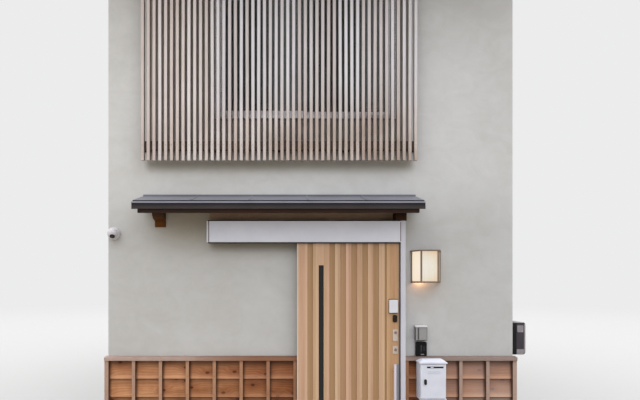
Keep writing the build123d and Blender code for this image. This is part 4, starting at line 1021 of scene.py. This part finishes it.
def buildDoorFrame():
    # end cap, drip lips and joints of the header with painted shade in the joints, its brush seal that is
    # also painted shadow, and a dark strip on the jamb as painted shade in the gap
    look = {"endCap": 0.0095, "joint": (0.011, 0.019), "endJoint": 0.0065, "bead": (0.022, 0.034),
            "lip": 0.009, "proud": 0.0035, "brushDrop": 0.0105, "brushDepth": 0.006, "gapToLeaf": 0.006,
            "sealFoot": 0.045}
    low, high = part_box("door_header")
    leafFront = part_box("door_leaf")[0].y
    beadLeft, beadRight = low.x + look["bead"][0], low.x + look["bead"][1]
    capRight, proud, inset = low.x + look["endCap"], low.y - look["proud"], low.y + 0.002
    upper = (beadRight, low.y - look["proud"] * 0.7, high.z - look["lip"] * 0.8)
    trim = [block((low.x - 0.0028, low.y - 0.002, low.z - 0.001), (capRight, high.y, high.z + 0.001)),
            block((beadLeft, proud, low.z), (beadRight, low.y, high.z)),
            block((beadRight, proud, low.z), (high.x, inset, low.z + look["lip"])),
            block(upper, (high.x, inset, high.z))]
    makePiece("headerTrim", trim, aluminium, rounding=0.001)
    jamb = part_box("door_jamb")[0]
    # painted shade: dark strips in the joints of the header and in the gap on the jamb
    joints = [block((left, low.y - 0.0006, low.z + 0.001), (right, low.y + 0.001, high.z - 0.001))
              for left, right in ((low.x + look["joint"][0], low.x + look["joint"][1]),
                                  (high.x - look["endJoint"], high.x))]
    joints.append(block((jamb.x - 0.0012, leafFront + 0.001, look["sealFoot"]),
                        (jamb.x, leafFront + 0.028, low.z - 0.002)))
    makePiece("headerJoints", joints, jointShade)
    # the brush runs the full header: over the leaf it is a seal, beyond the leaf painted shadow under the
    # header
    front = leafFront - look["gapToLeaf"]
    brush = block((low.x + 0.004, front - look["brushDepth"], low.z - look["brushDrop"]),
                  (high.x - 0.002, front, low.z + 0.003))
    makePiece("headerBrush", [brush], brushSealAndShadow, rounding=0.0015)


def buildLeafTrim():
    # bright trim and rubber along the leaf's edges, a grey-blue strip beside the handle as painted shadow of
    # the handle, the frame of the glass slit
    look = {"leftTrim": 0.012, "seal": (0.803, 0.812), "strip": ((0.779, 0.52), (0.8025, 1.117)),
            "bead": 0.004}
    low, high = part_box("door_leaf")
    trim = block((low.x - 0.0006, low.y - 0.0012, low.z), (low.x + look["leftTrim"], low.y + 0.002, high.z))
    makePiece("leafEdgeTrim", [trim], trimGold, "door", rounding=0.0006)
    left, right = look["seal"]
    seal = block((left, low.y - 0.0014, low.z), (right, low.y + 0.002, high.z))
    makePiece("leafEdgeSeal", [seal], sealRubber, "door", rounding=0.0006)
    # painted shadow of the handle, as a grey-blue strip beside it
    strip = plate(look["strip"], low.y + 0.001, low.y - 0.003, 0.003)
    makePiece("handleShadowStrip", [strip], handleShadowMetal, "door", rounding=0.0008)
    glassLow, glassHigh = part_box("door_glass")
    beads = bars((glassLow.x, glassLow.z), (glassHigh.x, glassHigh.z), look["bead"],
                 low.y - 0.0008, glassLow.y + 0.003)
    makePiece("glassBeads", beads, darkTrim, "door", rounding=0.0006)


def buildLocks():
    # reader of the door lock on its dark gasket, whose edges above and below are also painted shadow, its
    # thumb piece, and two plates with key cylinders
    look = {"place": (0.7525, 1.646), "case": (0.080, 0.120), "caseDepth": 0.026, "gasket": 0.0055,
            "thumbPlace": (0.768, 1.533), "thumb": (0.040, 0.066), "thumbDepth": 0.014,
            "plates": ((0.771, 1.380, 0.046, 0.108), (0.771, 1.246, 0.046, 0.070)), "plateDepth": 0.006,
            "keys": ((0.773, 1.405), (0.773, 1.2485)), "keyRadius": 0.0125}
    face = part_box("door_leaf")[0].y
    (x, z), (width, height), gasket = look["place"], look["case"], look["gasket"]
    case = plate(centred(x, z, width, height), face - 0.004, face - look["caseDepth"], 0.008)
    makePiece("lockCase", [case], whitePlastic, "door", rounding=0.0035,
              stands=["door_locks"])
    back = face + 0.001
    # the gasket reaches further above and below the reader than beside it: partly a gasket, partly painted
    # shadow lines
    dark = [plate(centred(x, z, width + gasket * 0.6, height + gasket * 2.4), back, face - 0.006, 0.009)]
    (x, z), (width, height), depth = look["thumbPlace"], look["thumb"], look["thumbDepth"]
    dark.append(plate(centred(x, z, width, height), back, face - depth * 0.7, 0.012))
    knob = centred(x, z - 0.004, width * 0.45, height * 0.55)
    dark.append(plate(knob, face - depth * 0.6, face - depth, 0.007))
    makePiece("lockGasket", dark, darkTrim, "door", rounding=0.0012)
    plates = [plate(centred(*place), back, face - look["plateDepth"], 0.006) for place in look["plates"]]
    makePiece("lockPlates", plates, plateMetal, "door", rounding=0.0012)
    r = look["keyRadius"]
    profile = [(r * 1.12, 0.004), (r * 1.12, 0.008), (r, 0.0095), (r * 0.86, 0.0095), (r * 0.8, 0.0088),
               (r * 0.2, 0.0088)]
    cylinders = [turned(profile, outOfWall(x, face, z), 28) for x, z in look["keys"]]
    makePiece("keyCylinders", cylinders, keyMetal, "door", smooth=True)
    keyways = []
    for x, z in look["keys"]:
        keyways.append(plate(centred(x, z, 0.0022, 0.0095), face - 0.0085, face - 0.0092))
        keyways.append(disc((x, z), 0.0022, face - 0.0085, face - 0.0091, 12))
    makePiece("keyways", keyways, darkTrim, "door")


def buildLamp():
    # bulb and holder inside the wall lamp, with a glow on the wall below
    look = {"bulbRadius": 0.022, "holderRadius": 0.014, "screwRadius": 0.0045, "spill": 0.55,
            "spillColour": (1.0, 0.52, 0.26), "spillRadius": 0.02}
    place = Matrix.Translation(bulbPlace)
    r, h = look["bulbRadius"], look["holderRadius"]
    profile = [(r * 0.2, -0.021), (r * 0.66, -0.014), (r * 0.92, 0.0), (r, 0.012), (r * 0.9, 0.026),
               (r * 0.55, 0.036)]
    makePiece("lampBulb", [turned(profile, place, 24)], bulbGlow, smooth=True)
    profile = [(h, 0.034), (h, 0.07), (0.006, 0.072), (0.006, lampHigh.z - bulbPlace.z - 0.01)]
    makePiece("lampHolder", [turned(profile, place, 20)], lampMetal, smooth=True)
    screws = [disc((x, z), look["screwRadius"], lampHigh.y - 0.017, lampHigh.y - 0.0135, 14)
              for x in (lampLow.x + 0.02, lampHigh.x - 0.02) for z in (lampLow.z + 0.022, lampHigh.z - 0.03)]
    makePiece("lampScrews", screws, lampMetal)
    light = bpy.data.lights.new("lampSpill", "POINT")
    light.energy = look["spill"]
    light.color = look["spillColour"]
    light.shadow_soft_size = look["spillRadius"]
    spill = bpy.data.objects.new("lampSpill", light)
    spill.location = (bulbPlace.x - 0.012, bulbPlace.y + 0.012, lampLow.z + 0.03)
    bpy.context.scene.collection.objects.link(spill)


def buildOutlet():
    # flap, hood with a painted highlight along the top, and shadow lines of the outlet cover
    look = {"flap": ((0.993, 1.334), (1.069, 1.446)), "hinge": (0.0045, 0.0345), "flapOut": 0.0045,
            "groove": ((0.9875, 1.340), (0.9915, 1.450)), "edge": 0.0035}
    low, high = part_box("outlet_cover")
    front = low.y + look["flapOut"]
    bottom, top = look["flap"][0][1], look["flap"][1][1]
    hinge = ((low.x + look["hinge"][0], bottom), (low.x + look["hinge"][1], top))
    flap = [plate(corners, front + 0.006, front, 0.004) for corners in (look["flap"], hinge)]
    makePiece("outletFlap", flap, steel, rounding=0.0012)
    # the hood is a paler copy of the cover's steel: painted highlight along the top
    hood = block((low.x - 0.001, low.y - 0.0008, high.z - 0.0115),
                 (high.x + 0.001, low.y + 0.05, high.z + 0.0015))
    makePiece("outletHood", [hood], hoodHighlightSteel, rounding=0.0015)
    (left, foot), (right, head) = look["groove"]
    near, far, edge = low.y + 0.0055, low.y + 0.0085, look["edge"]
    lines = [block((left, front - 0.0006, foot), (right, front + 0.002, head)),
             block((low.x - 0.0005, near, low.z), (low.x + edge, far, high.z - 0.02)),
             block((high.x - edge * 0.6, near, low.z), (high.x + 0.0005, far, high.z - 0.02)),
             block((low.x, near - 0.001, low.z - 0.0005), (high.x, far, low.z + edge))]
    makePiece("outletLines", lines, darkTrim)


def buildIntercom():
    # body and glossy face of the intercom, its window, five speaker slots and the call button
    look = {"window": (1.0285, 1.250, 0.011, 0.062), "button": (1.039, 1.1945, 0.030, 0.0075),
            "slot": (1.0545, 1.268, 0.020, 0.003), "slots": 5, "slotPitch": 0.009, "border": 0.012}
    low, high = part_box("intercom")
    front, border = low.y, look["border"]
    middle = ((low.x + high.x) / 2, (low.z + high.z) / 2)
    width, height = high.x - low.x, high.z - low.z
    body = plate(centred(*middle, width + 0.005, height), high.y, front + 0.003, 0.008)
    makePiece("intercomBody", [body], blackPlastic, rounding=0.003, stands=["intercom"])
    face = plate(centred(*middle, width - border, height - border), front + 0.004, front + 0.001, 0.006)
    makePiece("intercomFace", [face], blackGloss, rounding=0.001)
    grille = [plate(centred(*look["window"]), front + 0.002, front + 0.0004, 0.005)]
    x, z, width, height = look["slot"]
    for row in range(look["slots"]):
        corners = centred(x, z - row * look["slotPitch"], width, height)
        grille.append(plate(corners, front + 0.002, front + 0.0006, 0.0014))
    makePiece("intercomGrille", grille, smokyCover)
    button = plate(centred(*look["button"]), front + 0.002, front - 0.0008, 0.003)
    makePiece("intercomButton", [button], smokyEdge, rounding=0.0006)


def buildCamera():
    # collar on the wall, ball and lens of the small camera, turned down to the street
    look = {"turn": 50, "swing": 14, "lens": 0.0215, "ball": 0.046, "ballOut": 0.056, "pole": 3.43775,
            "collar": 0.058, "lip": (0.0475, 0.028), "lipSize": (0.0095, 0.022), "throat": (0.040, 0.046)}
    low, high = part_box("security_camera")
    centre = Vector(((low.x + high.x) / 2, high.y - look["ballOut"], (low.z + high.z) / 2))
    (lipR, lipZ), (lipWide, lipTall), rim = look["lip"], look["lipSize"], look["collar"]
    profile = [(rim - 0.002, 0.0), (rim, 0.002), (rim - 0.001, 0.010)]
    profile += [(lipR + lipWide * u, lipZ + lipTall * v) for u, v in arc((0, 0), 1.0, 0, 90, 8)]
    collar = turned(profile + [look["throat"]], outOfWall(centre.x, high.y, centre.z), 48)
    makePiece("cameraCollar", [collar], cameraPlastic, smooth=True,
              stands=["security_camera"])
    forward = (Matrix.Translation(centre) @ Matrix.Rotation(math.radians(look["swing"]), 4, "Z")
               @ Matrix.Rotation(math.radians(90 + look["turn"]), 4, "X"))
    r, ball = look["lens"], look["ball"]
    edge = math.asin(r * 1.12 / ball)  # where the ball opens for the lens
    profile = arc((0, 0), ball, look["pole"] - 90, 90 - math.degrees(edge), 20)
    makePiece("cameraBall", [turned(profile, forward, 48)], cameraPlastic, smooth=True)
    rimZ = ball * math.cos(edge)
    profile = [(r * 1.1, rimZ - 0.004), (r * 1.1, rimZ + 0.0032), (r * 1.04, rimZ + 0.0045),
               (r, rimZ + 0.0045), (r * 0.97, rimZ + 0.003), (r * 0.6, rimZ + 0.003)]
    makePiece("cameraRing", [turned(profile, forward, 40)], darkTrim, smooth=True)
    profile = [(r * 0.94, rimZ + 0.002), (r * 0.86, rimZ + 0.0046), (r * 0.55, rimZ + 0.0064),
               (r * 0.15, rimZ + 0.0070)]
    makePiece("cameraLens", [turned(profile, forward, 40)], lensGlass, smooth=True)


def buildMeter():
    # electricity meter on the party wall: a dark base, a smoky cover with pale rims along its edges as
    # painted highlight, and the face behind it
    look = {"baseDepth": 0.047, "round": 0.016, "rim": 0.009,
            "patches": ((0.055, 0.092, 0.112, 0.028), (0.05, 0.292, 0.118, 0.252))}  # from the upper left
    low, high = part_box("meter_box")
    base = block(low, (low.x + look["baseDepth"], high.y, high.z))
    makePiece("meterBase", [base], meterBase, rounding=0.003, stands=["meter_box"])
    radius, foot = look["round"], low.z + 0.002
    left, right, middle = low.x + look["baseDepth"] - 0.002, high.x, (low.z + high.z) / 2
    bend = right - radius
    outline = ([(left, foot), (bend, foot)] + arc((bend, foot + radius), radius, -90, 0, 5)
               + arc((bend, high.z - radius), radius, 0, 90, 5) + [(left, high.z)])
    cover = prism(outline, low.y + 0.003, high.y - 0.003, "y")
    makePiece("meterCover", [cover], smokyCover, rounding=0.006)
    # painted highlight: pale rims along the edges of the smoky cover
    rims = []
    for near in (low.y, high.y - look["rim"]):
        far = near + look["rim"]
        rims += [block((left, near, high.z - 0.004), (bend, far, high.z + 0.001)),
                 block((right - 0.012, near, low.z + 0.018), (right + 0.001, far, high.z - 0.018)),
                 block((left, near, low.z), (bend, far, low.z + 0.010))]
    rims.append(block((low.x, low.y - 0.0008, high.z - 0.004), (left, low.y + 0.004, high.z + 0.001)))
    makePiece("meterRims", rims, smokyEdge, rounding=0.0015)
    face = [plate(((low.x + a, high.z - b), (low.x + c, high.z - d)), low.y + 0.005, low.y + 0.0022, 0.006)
            for a, b, c, d in look["patches"]]
    window = roundedRectangle((low.y + 0.030, middle + 0.02), (high.y - 0.030, high.z - 0.035), 0.008)
    face.append(prism(window, right - 0.002, right + 0.0012))
    makePiece("meterFace", face, meterFace, rounding=0.0006)
    pane = roundedRectangle((low.y + 0.048, middle + 0.05), (high.y - 0.048, high.z - 0.055), 0.005)
    makePiece("meterScreen", [prism(pane, right, right + 0.0022)], lensGlass)


def buildMailbox():
    # shade in the letter slot, the lock's escutcheon, the small tongue and two pressed lines under the slot
    look = {"slot": (1.112, 1.102, 0.150, 0.016), "latch": (1.0235, 0.971, 0.024, 0.050),
            "tongue": (1.083, 0.026), "lines": (0.036, 0.052)}
    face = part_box("mailbox_door")[0].y
    x, z, width, height = look["slot"]
    shade = [plate(centred(x, z, width - 0.001, height - 0.001), face + 0.006, face + 0.0042, 0.004),
             plate(centred(*look["latch"]), face + 0.002, face - 0.0042, 0.011)]
    makePiece("mailSlotShade", shade, darkTrim, "mailbox_door", rounding=0.0006)
    tongueX, tongueWidth = look["tongue"]
    pressed = [plate(centred(tongueX, z - 0.001, tongueWidth, height * 0.5), face + 0.0045, face + 0.0012)]
    for drop in look["lines"]:
        pressed.append(plate(centred(x - 0.008, z - drop, width * 0.78, 0.003), face + 0.002, face - 0.0008))
    makePiece("mailSlotTongue", pressed, mailboxPaint, "mailbox_door", rounding=0.0005)


def buildWainscotDetails():
    # nail heads on the uprights and a metal drip under the lowest boards
    look = {"nail": 0.0024, "nailHeight": 0.16, "backBays": 15, "doorGap": (-0.945, 0.860), "dripOut": 0.034,
            "dripDrop": 0.016}
    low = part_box("wainscot_battens")[0]
    pitch, backPitch = townhouse["battenPitch"], 2 * halfHouse / look["backBays"]
    front = [-halfHouse + pitch * step for step in range(1, 8)]
    front += [halfHouse - pitch * step for step in range(1, 5)] + [-halfHouse - 0.001, halfHouse + 0.001]
    back = [-halfHouse + backPitch * step for step in range(1, look["backBays"])]
    nails = []
    for side, uprights in ((-1, front), (1, back)):
        head, foot = side * (0.0006 - low.y), side * (-low.y - 0.001)
        for x in uprights:
            for row in range(townhouse["laps"]):
                z = low.z + lapHeight * (row + look["nailHeight"])
                nails.append(disc((x, z), look["nail"], head, foot, 8))
    makePiece("wainscotNails", nails, darkTrim)
    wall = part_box("front_wall_left")[0].y
    gapLeft, gapRight = look["doorGap"]
    drip = []
    for side, runs in ((-1, ((-halfHouse, gapLeft), (gapRight, halfHouse))), (1, ((-halfHouse, halfHouse),))):
        face = -wall * side
        lip, inner, foot = face + side * look["dripOut"], face + side * (look["dripOut"] - 0.002), low.z
        profile = [(face, foot + 0.004), (lip, foot - 0.002), (lip, foot - look["dripDrop"]),
                   (inner, foot - look["dripDrop"]), (inner, foot - 0.004), (face, foot + 0.001)]
        drip += [prism(profile, start, end) for start, end in runs]
    makePiece("wainscotDrip", drip, trackMetal)


def buildWindowDetails():
    # black gaskets round each pane
    look = {"gasket": 0.006, "thick": 0.003, "outerPane": -0.066, "innerPane": -0.030, "trackStep": 0.030,
            "windows": ((-1, 3.470, 4.680), (1, 3.470, 4.680), (1, 1.330, 2.070))}  # side, sill and head
    low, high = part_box("window_glass")
    gaskets = []
    for side, sill, head in look["windows"]:
        outer = (low.y if side < 0 else high.y) + side * 0.0012
        inner = outer - side * look["trackStep"]
        for left, right, face in ((low.x, look["outerPane"], outer), (look["innerPane"], high.x, inner)):
            near, far = sorted((face, face - side * look["thick"]))
            gaskets += bars((left, sill), (right, head), look["gasket"], near, far)
    makePiece("windowGaskets", gaskets, darkTrim)


buildLattice()
buildRoofSeams()
buildRidgeFixings()
buildPentRoof()
buildHeaderBack()
print("lattice and roofs detailed")
buildDoorFrame()
buildLeafTrim()
buildLocks()
print("door detailed")
buildLamp()
buildOutlet()
buildIntercom()
buildCamera()
buildMeter()
buildMailbox()
buildWainscotDetails()
buildWindowDetails()
print("fittings detailed")


def buildStage():
    # a pale floor that runs out into the backdrop, and an even overcast sky behind a pale card
    look = {"reach": 60.0, "pale": (0.42, 0.42, 0.42), "bounce": (0.32, 0.285, 0.24), "fade": (12.0, 34.0),
            "horizon": 0.28, "zenithGain": 2.8, "backdrop": srgb(236, 236, 237)}
    mesh = bpy.data.meshes.new("studioFloor")
    rim = [(x, y, 0) for x, y in circle((0, 0), look["reach"], 64)]
    mesh.from_pydata(rim, [], [range(len(rim))])
    floor = bpy.data.objects.new("studioFloor", mesh)
    bpy.context.scene.collection.objects.link(floor)
    finish = Finish("studioFloor")
    seen = finish.seen()
    away = finish.add("VectorMath", {0: finish.place}, operation="LENGTH").outputs["Value"]
    far = finish.soft(away, *look["fade"])
    finish.set({"Base Color": finish.mix(seen, look["bounce"], look["pale"]), "Roughness": 0.9})
    backdrop = finish.add("Emission", {"Color": look["backdrop"], "Strength": 1.0}).outputs[0]
    blend = finish.add("MixShader", {0: finish.times(far, seen), 1: finish.shader.outputs[0], 2: backdrop})
    finish.feed(finish.tree.nodes["Material Output"].inputs["Surface"], blend.outputs[0])
    mesh.materials.append(finish.material)

    world = bpy.data.worlds.new("studioSky")
    bpy.context.scene.world = world
    world.use_nodes = True
    world.node_tree.nodes.clear()
    sky = Nodes(world.node_tree)
    height = sky.split(sky.add("TexCoord").outputs["Generated"])[2]
    strength = sky.range(height, 0.0, 1.0, look["horizon"], look["horizon"] + look["zenithGain"])
    overcast = sky.add("Background", {"Color": (1.0, 1.0, 1.0), "Strength": strength}).outputs[0]
    card = sky.add("Background", {"Color": look["backdrop"]}).outputs[0]  # sheds no light on the house
    choice = sky.add("MixShader", {0: sky.seen(), 1: overcast, 2: card}).outputs[0]
    sky.add("OutputWorld", {"Surface": choice})


buildStage()
print("stage lit")

bpy.context.scene.view_settings.view_transform = "Standard"
